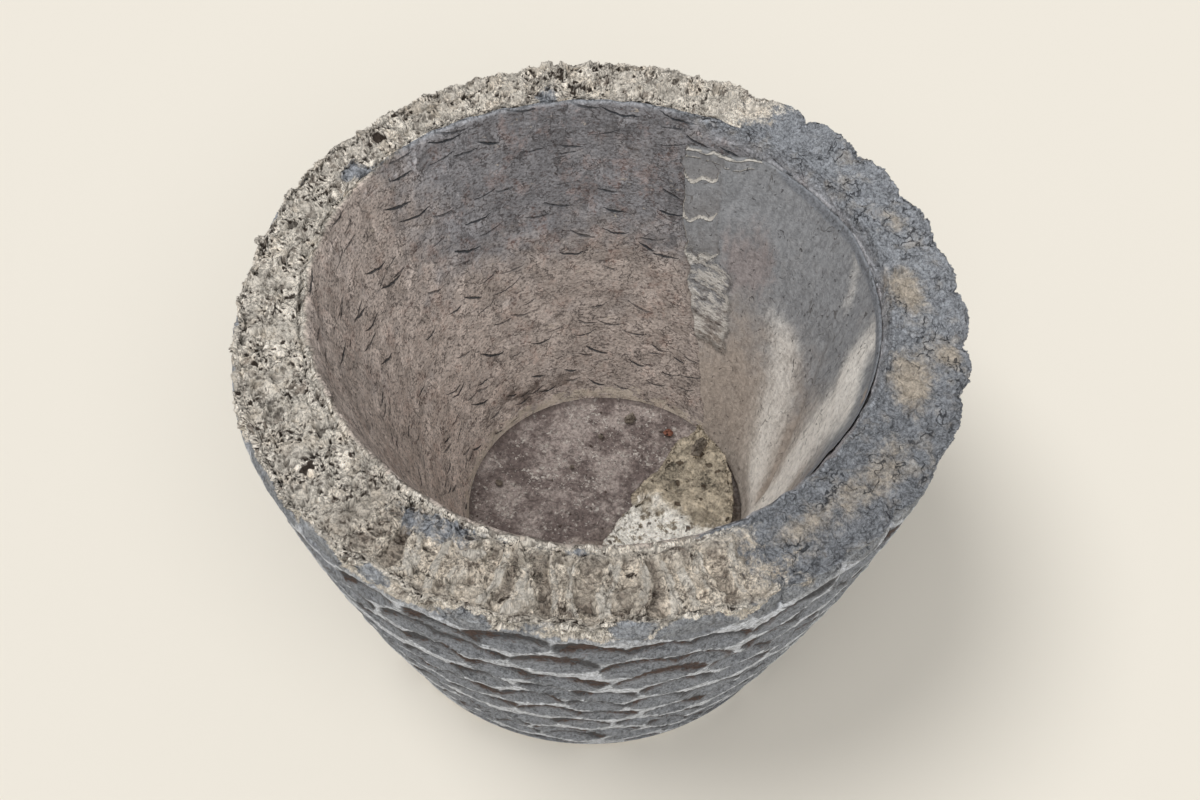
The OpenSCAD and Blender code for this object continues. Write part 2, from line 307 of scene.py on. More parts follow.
class PlanterColours(bpy.types.PropertyGroup):
    """Colours of the stones, the lime and the soil."""

    # The cream rim is the stone with painted sunlight, and the blue-grey rim is the same stone with painted
    # shade
    sunlit_rim: paint("Warm rim", "Cream stone of the rim", 210, 203, 192)
    tan_rim: paint("Tan rim", "Tan stone of the rim", 188, 176, 160)
    shaded_rim: paint("Cool rim", "Blue-grey stone of the rim", 150, 153, 158)
    # Worn ridges, paler with a painted highlight
    worn_ridge_highlight: paint("Ridges", "Worn ridges between the tool marks", 200, 203, 209)
    outer_hollow: paint("Hollows", "Stone inside the tool marks", 135, 138, 143)
    # The shaded stone is painted shade in the upper part of each mark, under the ridge above
    under_ridge_shade: paint("Shaded stone", "Damp stone in the upper part of each mark", 66, 65, 67)
    rust: paint("Rust", "Red-brown stain in pits and hollows", 70, 52, 43)
    warm_wall: paint("Warm wall", "Brown-grey wall of the hollow", 190, 177, 168)
    cool_wall: paint("Cool wall", "Grey wall of the hollow", 160, 158, 160)
    cool_lime: paint("Cool lime", "Upper part of the lining", 152, 153, 155)
    warm_lime: paint("Warm lime", "Lower part of the lining", 176, 164, 153)
    # The flutes' faces, pale with painted sunlight
    flute_sunlight: paint("Bleached lime", "Pale faces of the lining's flutes", 236, 231, 223)
    # Pale edges, partly newly broken and partly painted highlights
    fresh: paint("Fresh cut", "Pale fresh-cut edges", 218, 213, 204)
    soil: paint("Soil", "Packed soil", 172, 160, 154)
    dark_soil: paint("Dark soil", "Damp, darker soil", 118, 106, 102)
    dry_soil: paint("Dry soil", "Smooth, drier soil at the front", 180, 167, 152)
    pale_stone: paint("Pale stone", "Loose pitted block", 198, 185, 164)
    dark_stone: paint("Dark stone", "Wedge and dark chips", 112, 103, 93)
    brick: paint("Brick", "Red chip", 140, 94, 78)
    clay: paint("Clay", "Broken pot over the drain", 158, 96, 68)
    floor: paint("Floor", "Plain pale floor", 239, 233, 221)


class PlanterLight(bpy.types.PropertyGroup):
    """Strengths of the studio light."""

    sky: number("Sky", "Strength of the even light", 0.25)
    key: number("Key", "Strength of the soft light from the left", 1.40)
    fill: number("Fill", "Strength of the broad light from the front", 1.36)


def outer_radius(sizes, azimuth, z):
    t = z / sizes.height
    swell = sizes.belly * 4 * t * (1 - t)
    stray = 0.6 * np.cos(np.radians(2 * azimuth - 144)) + 0.5 * np.cos(np.radians(3 * azimuth - 315))
    return sizes.foot_radius + (sizes.rim_radius - sizes.foot_radius) * t + swell + sizes.stray * t * stray


def hollow_share(sizes, z):
    return (z - sizes.base) / (sizes.height - sizes.base)


def hollow_point(sizes, azimuth, z, inset):
    """A point inset from the hollow's wall, with the last axis as x, y, z."""
    t = hollow_share(sizes, z)
    stray = 0.6 * sizes.stray * t * np.cos(np.radians(3 * azimuth - 90))
    r = sizes.floor_radius + (sizes.mouth_radius - sizes.floor_radius) * t + stray - inset
    a = np.radians(azimuth)
    x = sizes.floor_shift * (1 - t) + r * np.cos(a)
    y = sizes.mouth_shift * t + r * np.sin(a)
    return np.stack(np.broadcast_arrays(x, y, z), axis=-1)


def tool_marks(u, v, around, steep):
    """Scalloped tool marks at column place u and course place v. Gives each point's depth, from 0 on a ridge
    to 1, and how high it lies in its own mark, from below to above 0."""
    depth = np.zeros(np.broadcast(u, v).shape)
    height = np.zeros(depth.shape)
    for row in (-1, 0, 1):
        c = np.floor(v) + row
        for column in (-1, 0, 1):
            n = np.floor(u) + column
            m = (n + around) % around
            across = u - n - (c % 2) / 2 - 0.3 * (chance(m, c) - 0.5)
            along = 1.1 * (v - c - 0.5 - 0.3 * (chance(m + 50, c) - 0.5))
            tall = np.where(along > 0, along * steep, along)
            deepest = 0.65 + 0.35 * chance(m, c + 70)
            here = deepest * (1 - (1.4 * across ** 2 + tall ** 2) / 0.42)
            height = np.where(here > depth, along, height)
            depth = np.maximum(depth, here)
    return depth, height


def wander(x, seed):
    """A smooth random line from 0 to 1, with one bend for each whole step of x."""
    start = np.floor(x)
    t = x - start
    t = t * t * (3 - 2 * t)
    return chance(start, seed) * (1 - t) + chance(start + 1, seed) * t


def blended(u, v, around, seed):
    """The solids' random numbers, at whole columns u and rows v, with even curves between them."""
    i, k = np.floor(u), np.floor(v)
    t, w = smooth(u - i, 0, 1), smooth(v - k, 0, 1)

    def row(level):
        return chance(i % around, level + seed) * (1 - t) + chance((i + 1) % around, level + seed) * t
    return row(k) * (1 - w) + row(k + 1) * w


def grid_mesh(name, points, closed_rows=False, closed_columns=True):
    """A mesh over rows and columns of points, with quads turned outwards for a ring that climbs."""
    rows, columns = points.shape[:2]
    index = np.arange(rows * columns).reshape(rows, columns)
    below = index if closed_rows else index[:-1]
    above = np.roll(index, -1, axis=0) if closed_rows else index[1:]
    quads = np.stack([below, np.roll(below, -1, axis=1), np.roll(above, -1, axis=1), above], axis=-1)
    if not closed_columns:
        quads = quads[:, :-1]
    quads = quads.reshape(-1, 4)
    mesh = bpy.data.meshes.new(name)
    mesh.vertices.add(rows * columns)
    mesh.vertices.foreach_set("co", points.reshape(-1).astype(np.float32))
    mesh.loops.add(quads.size)
    mesh.loops.foreach_set("vertex_index", quads.reshape(-1).astype(np.int32))
    mesh.polygons.add(len(quads))
    mesh.polygons.foreach_set("loop_start", np.arange(0, quads.size, 4, dtype=np.int32))
    mesh.update(calc_edges=True)
    mesh.validate()
    mesh.polygons.foreach_set("use_smooth", np.ones(len(mesh.polygons), dtype=bool))
    return mesh


def grid_normals(points, closed_rows=False, closed_columns=True):
    """Unit normals of a grid of points, outwards for a ring that climbs."""
    def run(axis, closed):
        if closed:
            return np.roll(points, -1, axis=axis) - np.roll(points, 1, axis=axis)
        return np.gradient(points, axis=axis)
    normals = np.cross(run(1, closed_columns), run(0, closed_rows))
    return normals / np.maximum(np.linalg.norm(normals, axis=-1, keepdims=True), 1e-12)


def calm(normals, columns=8, rows=4):
    """Unit normals that turn slowly, each the mean of its neighbours'."""
    for axis, reach in ((1, columns), (0, rows)):
        normals = sum(np.roll(normals, k, axis=axis) for k in range(-reach, reach + 1))
    return normals / np.maximum(np.linalg.norm(normals, axis=-1, keepdims=True), 1e-12)


def add_numbers(mesh, name, values):
    """Stores one number or one vector for each vertex."""
    vector = values.ndim == 3
    layer = mesh.attributes.new(name, "FLOAT_VECTOR" if vector else "FLOAT", "POINT")
    layer.data.foreach_set("vector" if vector else "value", values.reshape(-1).astype(np.float32))


def stored_numbers(mesh, name):
    """A mesh's stored numbers for its points, in one row."""
    layer = mesh.attributes[name]
    vector = layer.data_type == "FLOAT_VECTOR"
    values = np.empty(len(layer.data) * (3 if vector else 1), dtype=np.float32)
    layer.data.foreach_get("vector" if vector else "value", values)
    return values


def new_piece(name, mesh):
    piece = bpy.data.objects.new(name, mesh)
    bpy.context.collection.objects.link(piece)
    return piece


def plain_mesh(piece, name):
    """Turns a piece and its modifiers into a plain mesh, and takes the modifiers off."""
    bpy.context.view_layer.update()
    evaluated = piece.evaluated_get(bpy.context.evaluated_depsgraph_get())
    mesh = bpy.data.meshes.new_from_object(evaluated)
    mesh.name = name
    piece.modifiers.clear()
    piece.data = mesh
    return piece


def geometry_tree(name, inputs):
    """A geometry tree with named inputs. Gives the bench for its nodes, and a reader of its inputs."""
    tree = bpy.data.node_groups.new(name, "GeometryNodeTree")
    face = tree.interface
    face.new_socket("Geometry", in_out="INPUT", socket_type="NodeSocketGeometry")
    for key, default in inputs.items():
        kind = "NodeSocketInt" if isinstance(default, int) else "NodeSocketFloat"
        face.new_socket(key, in_out="INPUT", socket_type=kind).default_value = default
    face.new_socket("Geometry", in_out="OUTPUT", socket_type="NodeSocketGeometry")
    bench = Bench(tree)
    source = bench.node("NodeGroupInput")
    return bench, lambda key: bench.wire(source, key)


def finish_tree(bench, geometry, material):
    """Ends a geometry tree with its material."""
    dressed = bench.node("GeometryNodeSetMaterial", Geometry=geometry)
    dressed.inputs["Material"].default_value = material
    bench.node("NodeGroupOutput", Geometry=bench.wire(dressed, "Geometry"))
    return bench.tree


def weathering_tree(material):
    """Wears a surface with lumps, facets, grain, pits and holes, as far as its rough and pitted say."""
    bench, given = geometry_tree("Weathered stone", {
        "Lump size": 0.030, "Lump depth": 0.004, "Facet size": 0.020, "Facet slope": 0.3, "Grain size": 0.009,
        "Grain depth": 0.002, "Pit size": 0.011, "Pit depth": 0.004, "Hole size": 0.005, "Hole depth": 0.002,
        "Seed": 0.0})

    def stored(name, kind="FLOAT"):
        return bench.out("Attribute", "GeometryNodeInputNamedAttribute", {"data_type": kind}, Name=name)

    def lumps(size, detail, roughness, shift, output="Fac"):
        return bench.out(output, "ShaderNodeTexNoise", {"noise_dimensions": "4D"}, Vector=rest,
                         W=given("Seed") + shift, Scale=bench.math("DIVIDE", 1.0, size), Detail=detail,
                         Roughness=roughness)

    def cells(place, size):
        return bench.node("ShaderNodeTexVoronoi", Vector=place, Scale=bench.math("DIVIDE", 1.0, size))

    def clustered(place, size, share):
        """Ragged holes of many widths, more of them where the crowd is thick."""
        found = cells(place, size)
        pick = bench.parts(bench.wire(found, "Color"))
        chosen = bench.step(pick[1] + crowd.sway(3.0), 0.95 - share, 1.15 - share)
        return bench.step(bench.wire(found, "Distance") / (pick[2] * 0.8 + 0.5), 0.48, 0.22) * chosen

    rest = stored("rest", "FLOAT_VECTOR")
    rough, pitted = stored("rough"), stored("pitted")
    bent = bench.bend(rest, lumps(0.0065, 3.0, 0.65, 0.0, "Color"), 0.0065)
    coarse = bench.step(lumps(given("Lump size"), 3.0, 0.6, 1.0), 0.30, 0.70)
    swell = lumps(given("Grain size"), 5.0, 0.70, 2.0)
    grain = bench.step(swell, 0.34, 0.66)
    crease = bench.step(abs(lumps(0.019, 4.0, 0.62, 7.0) - 0.5), 0.030, 0.0)
    tilt = bench.slope(bent, cells(bent, given("Facet size")))
    facet = 0.5 * given("Facet size") * given("Facet slope") - tilt * given("Facet slope") * 2.0
    crowd = lumps(0.026, 3.0, 0.6, 5.0)
    pit = clustered(bent, given("Pit size"), 0.16)
    hole = bench.most(clustered(bench.vector("MULTIPLY", bent, (0.8, 1.0, 1.0)), given("Hole size"), 0.62),
                      clustered(bent, given("Hole size") * 0.6, 0.72))
    broken = given("Lump depth") * (1 - coarse) + given("Grain depth") * (1 - grain + 0.4 * crease)
    worn = (rough * (broken + bench.most(facet, 0.0))
            + pitted * (given("Pit depth") * pit + given("Hole depth") * hole))
    # Lows of the grain, creases, pits and holes, where the vessel's stone gets painted shade
    low = bench.most(bench.step(swell, 0.45, 0.35) * 0.75, crease * 0.35)
    cavity = bench.most(rough * low, pitted * bench.most(pit, hole))
    moved = bench.out("Geometry", "GeometryNodeSetPosition", Geometry=given("Geometry"),
                      Offset=bench.tint(stored("outward", "FLOAT_VECTOR"), worn * -1.0))
    kept = bench.store(bench.store(moved, "worn", worn), "cavity", cavity)
    return finish_tree(bench, bench.out("Geometry", "GeometryNodeRealizeInstances", Geometry=kept), material)


def wear(piece, material, seed, **amounts):
    """Wears a piece with the weathering tree, whose inputs are set before it is first evaluated. The amounts
    are the size and the depth of its lumps, grains, pits and holes, and the size and slope of its facets."""
    tree = weathering_tree(material)
    modifier = piece.modifiers.new("Weathering", "NODES")
    modifier.node_group = tree
    sockets = {item.name: item.identifier for item in tree.interface.items_tree if item.in_out == "INPUT"}
    modifier[sockets["Seed"]] = seed
    for form, (size, depth) in amounts.items():
        modifier[sockets[form + " size"]] = size
        modifier[sockets[form + (" slope" if form == "Facet" else " depth")]] = depth
    return plain_mesh(piece, piece.name)


def new_material(name):
    material = bpy.data.materials.new(name)
    material.use_nodes = True
    material.node_tree.nodes.clear()
    return material, Bench(material.node_tree)


def finish_material(bench, colour, height, roughness=0.9, specular=0.25):
    """Joins a colour, a height in metres for the bump, a roughness and a gloss to the surface."""
    bumped = bench.out("Normal", "ShaderNodeBump", Strength=1.0, Distance=1.0, Height=height)
    surface = bench.out("BSDF", "ShaderNodeBsdfPrincipled", Base_Color=colour, Roughness=roughness,
                        Specular_IOR_Level=specular, Normal=bumped)
    bench.node("ShaderNodeOutputMaterial", Surface=surface)


def pits(bench, place, size, share, seed):
    """Ragged pits: 1 inside. The share is how many cells hold one."""
    bent = bench.bend(place, bench.noise(place, size * 0.8, 2.0, 0.6, seed, "Color"), size * 0.9)
    holes = bench.cells(bent, size)
    pick = bench.parts(bench.wire(holes, "Color"))
    chosen = bench.step(pick[1], 1 - share, 1 - share + 0.06)
    width = pick[2] * 0.16 + 0.18
    return bench.step(bench.wire(holes, "Distance") - width, 0.06, -0.04) * chosen


def crescents(bench, place, cell_width, cell_height, share, seed):
    """Curved chisel cuts on the hollow's wall, of many lengths. Gives the slit, and the scoop above it."""
    x, y, z = bench.parts(place)
    u = bench.math("ARCTAN2", y, x) * (WALL_RADIUS / cell_width) + seed
    v = z / cell_height
    near = bench.cells(bench.out("Vector", "ShaderNodeCombineXYZ", X=u, Y=v), 1.0, 0.95)
    near.voronoi_dimensions = "2D"
    pick = bench.parts(bench.wire(near, "Color"))
    centre = bench.parts(bench.wire(near, "Position"))
    wobble = bench.noise(place, 0.007, 3.0, 0.6, seed).sway(0.0030)
    across = (u - centre[0]) * cell_width
    up = (v - centre[1]) * cell_height
    run = across / (pick[1] * 0.011 + 0.008)
    span = bench.most(1 - run * run, 0.0)
    curve = up - across * across * 14.0 - across * ((pick[0] - 0.40) * 0.75) + wobble
    held = bench.step(pick[2], 1 - share, 1.05 - share) * bench.step(span, 0.0, 0.15)
    half = span * (pick[0] * 0.0009 + 0.0005) + 0.0001
    slit = bench.step(abs(curve) / half, 1.1, 0.4) * held
    scoop = bench.step(curve, 0.014, 0.0) * bench.step(curve, 0.0, 0.0008) * bench.step(span, 0.0, 0.6) * held
    return slit, scoop


def hewn_stone(colours):
    """The vessel: a pitted rim, cream with painted sunlight round the left and blue-grey with painted shade
    round the right, a blue-grey ridged outside, and a dressed, chiselled hollow.
    """
    material, b = new_material("hewn_stone")
    place = b.attribute("rest", "Vector")
    rim, inside, depth, shaded, worn = map(b.attribute, ("rim", "inside", "depth", "shaded", "worn"))
    cavity, warm_share, tanned, front = map(b.attribute, ("cavity", "warm", "tanned", "front"))
    ribs, dim, foot, stained = map(b.attribute, ("ribs", "dim", "foot", "stain"))
    blotch = b.noise(place, 0.045, 4.0, 0.65, 3.0)
    patch = b.noise(place, 0.015, 4.0, 0.65, 7.0)
    rock = b.noise(place, 0.0105, 6.0, 0.78, 20.0)
    grain = b.noise(place, 0.0042, 3.0, 0.75, 11.0)
    grit = b.noise(place, 0.0032, 3.0, 0.8, 19.0)
    sharp = b.step(b.noise(place, 0.0021, 2.0, 0.8, 18.0), 0.40, 0.60)
    speckle = b.step(grain, 0.34, 0.66)
    # Painted shade where wear has worn the rim deepest
    low = b.step(worn, 0.0045, 0.0120)
    # Where the rim is cream, and the outside's fringe tan, with painted sunlight
    edge = warm_share + blotch.sway(0.9) + patch.sway(0.7) + grain.sway(0.25)
    warm = b.step(edge + grain.sway(0.5), 0.36, 0.64)

    # Cream stone of the rim, with painted sunlight: broken and crumbling, with painted shade in its lows, in
    # its hollows and in clusters of small holes, pale rib tops with painted highlights, and clefts with
    # painted shade
    # Painted shade in the lows of the broken rock
    low_shade = b.step(rock + patch.sway(0.4), 0.46, 0.38)
    # Painted shade in the pits and holes, which on the fringe outside turns to rust
    hole_shade_and_rust = b.step(cavity + grit.sway(0.6), 0.28, 0.70)
    quiet = b.step(b.noise(place, 0.026, 4.0, 0.6, 22.0), 0.47, 0.57)
    light = 0.28 * b.step(patch, 0.38, 0.60) + 0.28 * quiet
    lively = 1.18 - 0.60 * quiet
    sunlit_rim = b.tint(colours.sunlit_rim, 0.35 + lively * (0.50 * speckle + 0.82 * sharp) + light - 0.34 * low)
    tan = b.tint(colours.tan_rim, 0.34 + lively * (0.54 * speckle + 0.84 * sharp) + light - 0.34 * low)
    # Painted highlights on the tops of the front ribs, and painted shade in the clefts between them
    rib_highlight = b.step(ribs + patch.sway(1.1) + grit.sway(0.4), 0.88, 1.06)
    cleft = b.step(ribs + patch.sway(0.9) + grit.sway(0.5), 0.62, 0.30) * front
    sunlit_rim = b.coats(
        sunlit_rim,
        (b.step(patch + blotch.sway(0.8), 0.50, 0.68) * 0.5, tan),
        (front * 0.62, tan),
        (rib_highlight * 0.7, b.tint(colours.fresh, 0.78 + 0.20 * speckle + 0.20 * sharp)),
        (low_shade * lively * (0.66 - 0.25 * rib_highlight), b.tint(shade(122, 109, 98), 0.7 + 0.5 * sharp)),
        (cleft * 0.60, b.tint(shade(98, 86, 76), 0.5 + 0.8 * sharp)),
        (hole_shade_and_rust * b.math("MINIMUM", lively, 1.0) * (0.98 - 0.3 * rib_highlight), shade(62, 53, 46)))

    # Blue-grey, fine-grained stone of the rim, with painted shade: tan patches and cracks, painted shade in
    # its pits and its lows, and more painted shade at its front right
    mottle = b.step(rock, 0.36, 0.62)
    shaded_rim = b.tint(colours.shaded_rim, 0.38 + 0.42 * speckle + 0.64 * sharp + 0.50 * mottle - 0.40 * low
                      + patch.sway(0.30))
    tan_share = b.most(b.step(patch + blotch.sway(0.9), 0.50, 0.80) * 0.40,
                       b.step(tanned + patch.sway(1.0) + grain.sway(0.5), 0.25, 0.90) * 0.90)
    tan_tone = 0.56 + 0.36 * speckle + 0.30 * sharp + 0.36 * mottle - 0.3 * low
    ragged = b.bend(place, b.noise(place, 0.0040, 3.0, 0.6, 21.0, "Color"), 0.0040)
    cracks = abs(b.noise(ragged, 0.034, 3.0, 0.6, 28.0) - 0.5)
    crack = b.step(cracks, 0.012, 0.004) * b.step(blotch, 0.46, 0.56)
    # Painted shade in the pits
    pit_shade = b.step(cavity + grit.sway(0.5), 0.36, 0.70)
    shaded_rim = b.coats(
        b.tint(shaded_rim, 1.0 - dim),
        (tan_share, b.tint(colours.tan_rim, tan_tone)),
        (b.most(pit_shade * 0.75, crack * 0.8), shade(56, 58, 62)))

    # Ridges with painted highlights, upper parts with painted shade, and hollows of the tool marks outside,
    # and pale flakes with painted highlights on a fringe with painted sunlight below the rim
    streak = b.noise(b.squat(place, 2.4), 0.011, 4.0, 0.7, 17.0)
    # Ridges of the tool marks, paler with a painted highlight
    ridge = b.step(depth + streak.sway(0.30) + grit.sway(0.10), 0.06, 0.0)
    under_ridge_shade_mask = b.step(shaded + streak.sway(1.3) + grain.sway(1.5), 0.20, 1.00) * (1 - ridge)
    reddish = b.step(blotch + streak.sway(0.6) + grain.sway(0.5), 0.48, 0.60)
    outer = b.coats(colours.outer_hollow, (ridge, colours.worn_ridge_highlight),
                    (under_ridge_shade_mask * 0.92, b.mix(reddish, colours.under_ridge_shade, colours.rust)))
    # A painted highlight along the edge of the fringe's painted sunlight
    fringe_highlight = (1 - b.step(abs(edge - 0.50), 0.03, 0.10)) * (1 - rim)
    fringe = b.mix(fringe_highlight, b.tint(tan, 0.95), shade(228, 211, 188))
    outer = b.coats(
        b.tint(outer, 0.62 + 0.46 * speckle + 0.40 * sharp),
        (b.step(streak + grit.sway(0.8), 0.44, 0.34) * 0.55 * (1 - ridge), shade(58, 58, 61)),
        (warm, b.mix(hole_shade_and_rust * 0.5, fringe, colours.rust)))

    # Wall of the hollow, with painted shade towards the back: rusty patches, leaning flakes with painted
    # light and shade by their tilt, chinks and chisel cuts, over a pale, broken foot
    long_slit, scoop = crescents(b, place, 0.046, 0.027, 0.55, 0.0)
    faint_slit = crescents(b, place, 0.036, 0.041, 0.30, 57.0)[0]
    short_slit = crescents(b, place, 0.026, 0.024, 0.30, 83.0)[0]
    slit = b.most(long_slit, b.most(faint_slit * 0.8, short_slit * 0.7))
    fibre = b.noise(b.squat(place, 1.7), 0.0110, 5.0, 0.72, 27.0)
    fine = b.noise(b.squat(place, 1.5), 0.0030, 3.0, 0.7, 26.0)
    ledge = b.noise(b.squat(place, 2.2), 0.016, 5.0, 0.72, 24.0)
    inner_warm = b.step(warm_share + blotch.sway(1.3) + patch.sway(0.9), 0.0, 1.0)
    inner = b.tint(b.mix(inner_warm, colours.cool_wall, colours.warm_wall), 1.0 - dim)
    rusty = b.step(b.noise(place, 0.024, 5.0, 0.8, 23.0), 0.50, 0.66)
    tone = 1.12 + 0.64 * (b.step(fine, 0.36, 0.64) - 0.2) + fibre.sway(0.60) + patch.sway(0.30)
    inner = b.tint(b.mix(rusty * 0.30, inner, shade(150, 122, 110)), tone)
    flecks = b.step(fine + fibre.sway(0.6), 0.44, 0.36)
    inner = b.mix(flecks * 0.60, inner, b.mix(rusty, shade(92, 84, 82), shade(98, 66, 54)))
    strewn = b.bend(place, b.noise(place, 0.012, 3.0, 0.6, 29.0, "Color"), 0.012)
    # Each leaning facet's tilt, for its bump and for painted light and shade across it
    flake_tilt_and_shade = b.slope(strewn, b.cells(strewn, 0.021))
    outline = abs(b.noise(strewn, 0.030, 4.0, 0.65, 30.0) - 0.5)
    chink = b.step(outline, 0.012, 0.002) * b.step(patch + fine.sway(0.4), 0.46, 0.54)
    pale_foot = b.step(foot * 0.75 + ledge.sway(3.2) + grain.sway(0.7), 0.50, 0.66)
    stain = b.step(stained * 0.6 + ledge.sway(-3.6) + fine.sway(0.8), 0.50, 0.66)
    inner = b.coats(
        b.tint(inner, 1.00 + 30.0 * flake_tilt_and_shade),
        (chink * 0.60, shade(76, 70, 68)),
        (slit * 0.88, shade(44, 49, 54)),
        (pale_foot * 0.7, b.tint(shade(196, 184, 168), 0.80 + 0.4 * grain)),
        (stain * 0.6, shade(76, 65, 58)))

    colour = b.coats(outer, (rim, b.mix(warm, shaded_rim, sunlit_rim)), (inside, inner))
    dressed = fine * 0.0010 + flake_tilt_and_shade * 0.26 - chink * 0.0010 - slit * 0.0022 - scoop * 0.0006
    relief = (grain * 0.0016 + patch * 0.0022 + rim * (rock * 0.0052 + grit * 0.0028)
              - (1 - inside) * (1 - warm) * crack * 0.0014 + inside * dressed)
    finish_material(b, colour, relief)
    return material


def lime_material(colours):
    """Smooth lime with fine streaks, dark flecks, pink stains, painted shade in its scoops, chips with
    painted highlights and shadows, and pale flutes with painted sunlight.
    """
    material, b = new_material("lime_lining")
    place = b.attribute("rest", "Vector")
    fresh, cool, strip, pink, under_rim, chipped_off, scooped = map(
        b.attribute, ("fresh", "cool", "strip", "pink", "under_rim", "chips", "scooped"))
    blotch = b.noise(place, 0.045, 4.0, 0.65, 31.0)
    streak = b.noise(b.squat(place, 0.28), 0.0060, 4.0, 0.7, 33.0)
    grain = b.noise(place, 0.0040, 4.0, 0.78, 37.0)
    ledge = b.noise(b.squat(place, 2.6), 0.017, 5.0, 0.72, 34.0)
    speckle = b.step(grain, 0.34, 0.66)
    lime = b.coats(
        colours.warm_lime,
        (b.step(cool + blotch.sway(1.2), 0.05, 0.95), colours.cool_lime),
        (b.step(pink + blotch.sway(1.8) + streak.sway(0.9), 0.35, 1.00) * 0.32, shade(158, 130, 118)))
    # The flutes' faces, with painted sunlight
    light = b.step(fresh + streak.sway(0.45) + blotch.sway(0.25) + grain.sway(0.25), 0.05, 0.95)
    flute_sunlight = 0.72 + 0.24 * b.step(streak, 0.30, 0.60) + 0.24 * b.step(grain, 0.34, 0.60)
    # The rim's blue-grey stone, with painted shade, where the lining runs up under the rim
    rock = b.step(under_rim + blotch.sway(1.0) + grain.sway(0.9), 0.35, 0.65)
    # Painted highlights on the scoops' lips, on two lines along the torn lip and on the broken edge
    broken = b.step(strip + streak.sway(0.9) + grain.sway(0.6), 0.45, 0.75)
    flecks = b.step(b.noise(place, 0.0058, 3.0, 0.7, 38.0, warp=0.6), 0.64, 0.69)
    cracks = abs(b.noise(b.squat(place, 0.45), 0.022, 2.0, 0.6, 39.0) - 0.5)
    crack = (1 - b.step(cracks, 0.004, 0.012)) * b.step(blotch, 0.52, 0.60)
    # Chipped ledges: pale with painted highlights on their tops, and dark with painted shadow below them
    chips = b.step(chipped_off + blotch.sway(0.8) + grain.sway(0.5), 0.30, 0.70)
    lime = b.coats(
        b.tint(lime, 0.70 + 0.26 * b.step(streak, 0.35, 0.65) + 0.30 * speckle),
        (light, b.tint(colours.flute_sunlight, flute_sunlight)),
        (rock, b.tint(colours.shaded_rim, 0.58 + 0.44 * speckle)),
        (broken, b.tint(colours.fresh, 0.74 + 0.4 * grain)),
        (flecks * 0.7, shade(78, 76, 76)),
        (crack * 0.6, shade(88, 84, 80)),
        # Painted shade inside the scoops, above each lip
        (scooped * 0.30, shade(126, 114, 104)),
        (chips * b.step(ledge, 0.46, 0.54) * 0.85, b.tint(shade(228, 222, 213), 0.70 + 0.5 * grain)),
        (chips * b.step(ledge, 0.41, 0.35) * 0.65, shade(84, 76, 70)))
    relief = grain * 0.0014 + streak * 0.0014 - flecks * 0.0010 + broken * 0.0014 + chips * ledge * 0.0090
    finish_material(b, lime, relief, roughness=0.86)
    return material


def soil_material(colours):
    """Gritty packed soil with pale specks and painted shade along its edge against the wall, smoother and
    browner towards the front.
    """
    material, b = new_material("packed_soil")
    place = b.attribute("rest", "Vector")
    crumb, brim = b.attribute("crumb"), b.attribute("brim")
    x, y = b.parts(place)[:2]
    blotch = b.noise(place, 0.040, 5.0, 0.7, 41.0)
    patch = b.noise(place, 0.014, 4.0, 0.7, 42.0)
    grain = b.noise(place, 0.0036, 4.0, 0.75, 43.0)
    grit = b.noise(place, 0.0024, 2.0, 0.8, 45.0)
    smoothed = b.step(blotch.sway(0.09) - y + x * 0.35, 0.020, 0.075)
    soil = b.coats(
        colours.dark_soil,
        (b.step(blotch + patch.sway(0.5), 0.40, 0.60), colours.soil),
        (smoothed, colours.dry_soil))
    gritty = 0.42 * b.step(grit, 0.34, 0.66) * (1 - 0.4 * smoothed)
    specks = b.step(b.noise(place, 0.0034, 3.0, 0.75, 44.0) + patch.sway(0.5), 0.60, 0.63)
    gaps = b.step(b.noise(place, 0.0060, 4.0, 0.75, 46.0), 0.42, 0.36)
    pale_crumb = b.tint(shade(216, 208, 200), 0.6 + 0.6 * grain)
    soil = b.coats(
        b.tint(soil, 0.46 + 0.60 * b.step(grain, 0.32, 0.68) + gritty),
        (specks * (0.90 - 0.5 * smoothed), b.tint(shade(222, 214, 206), 0.7 + 0.5 * grain)),
        (gaps * (0.60 - 0.35 * smoothed), shade(74, 65, 62)),
        # Painted shade along the soil's edge against the wall
        (b.step(brim + patch.sway(1.0), 0.60, 1.00) * 0.55, shade(78, 68, 64)),
        (b.step(crumb, 0.05, 0.06), b.mix(b.step(crumb, 0.35, 0.45), shade(92, 80, 74), pale_crumb)))
    finish_material(b, soil, grain * 0.0024 + patch * 0.0040 + grit * 0.0010 + specks * 0.0006)
    return material


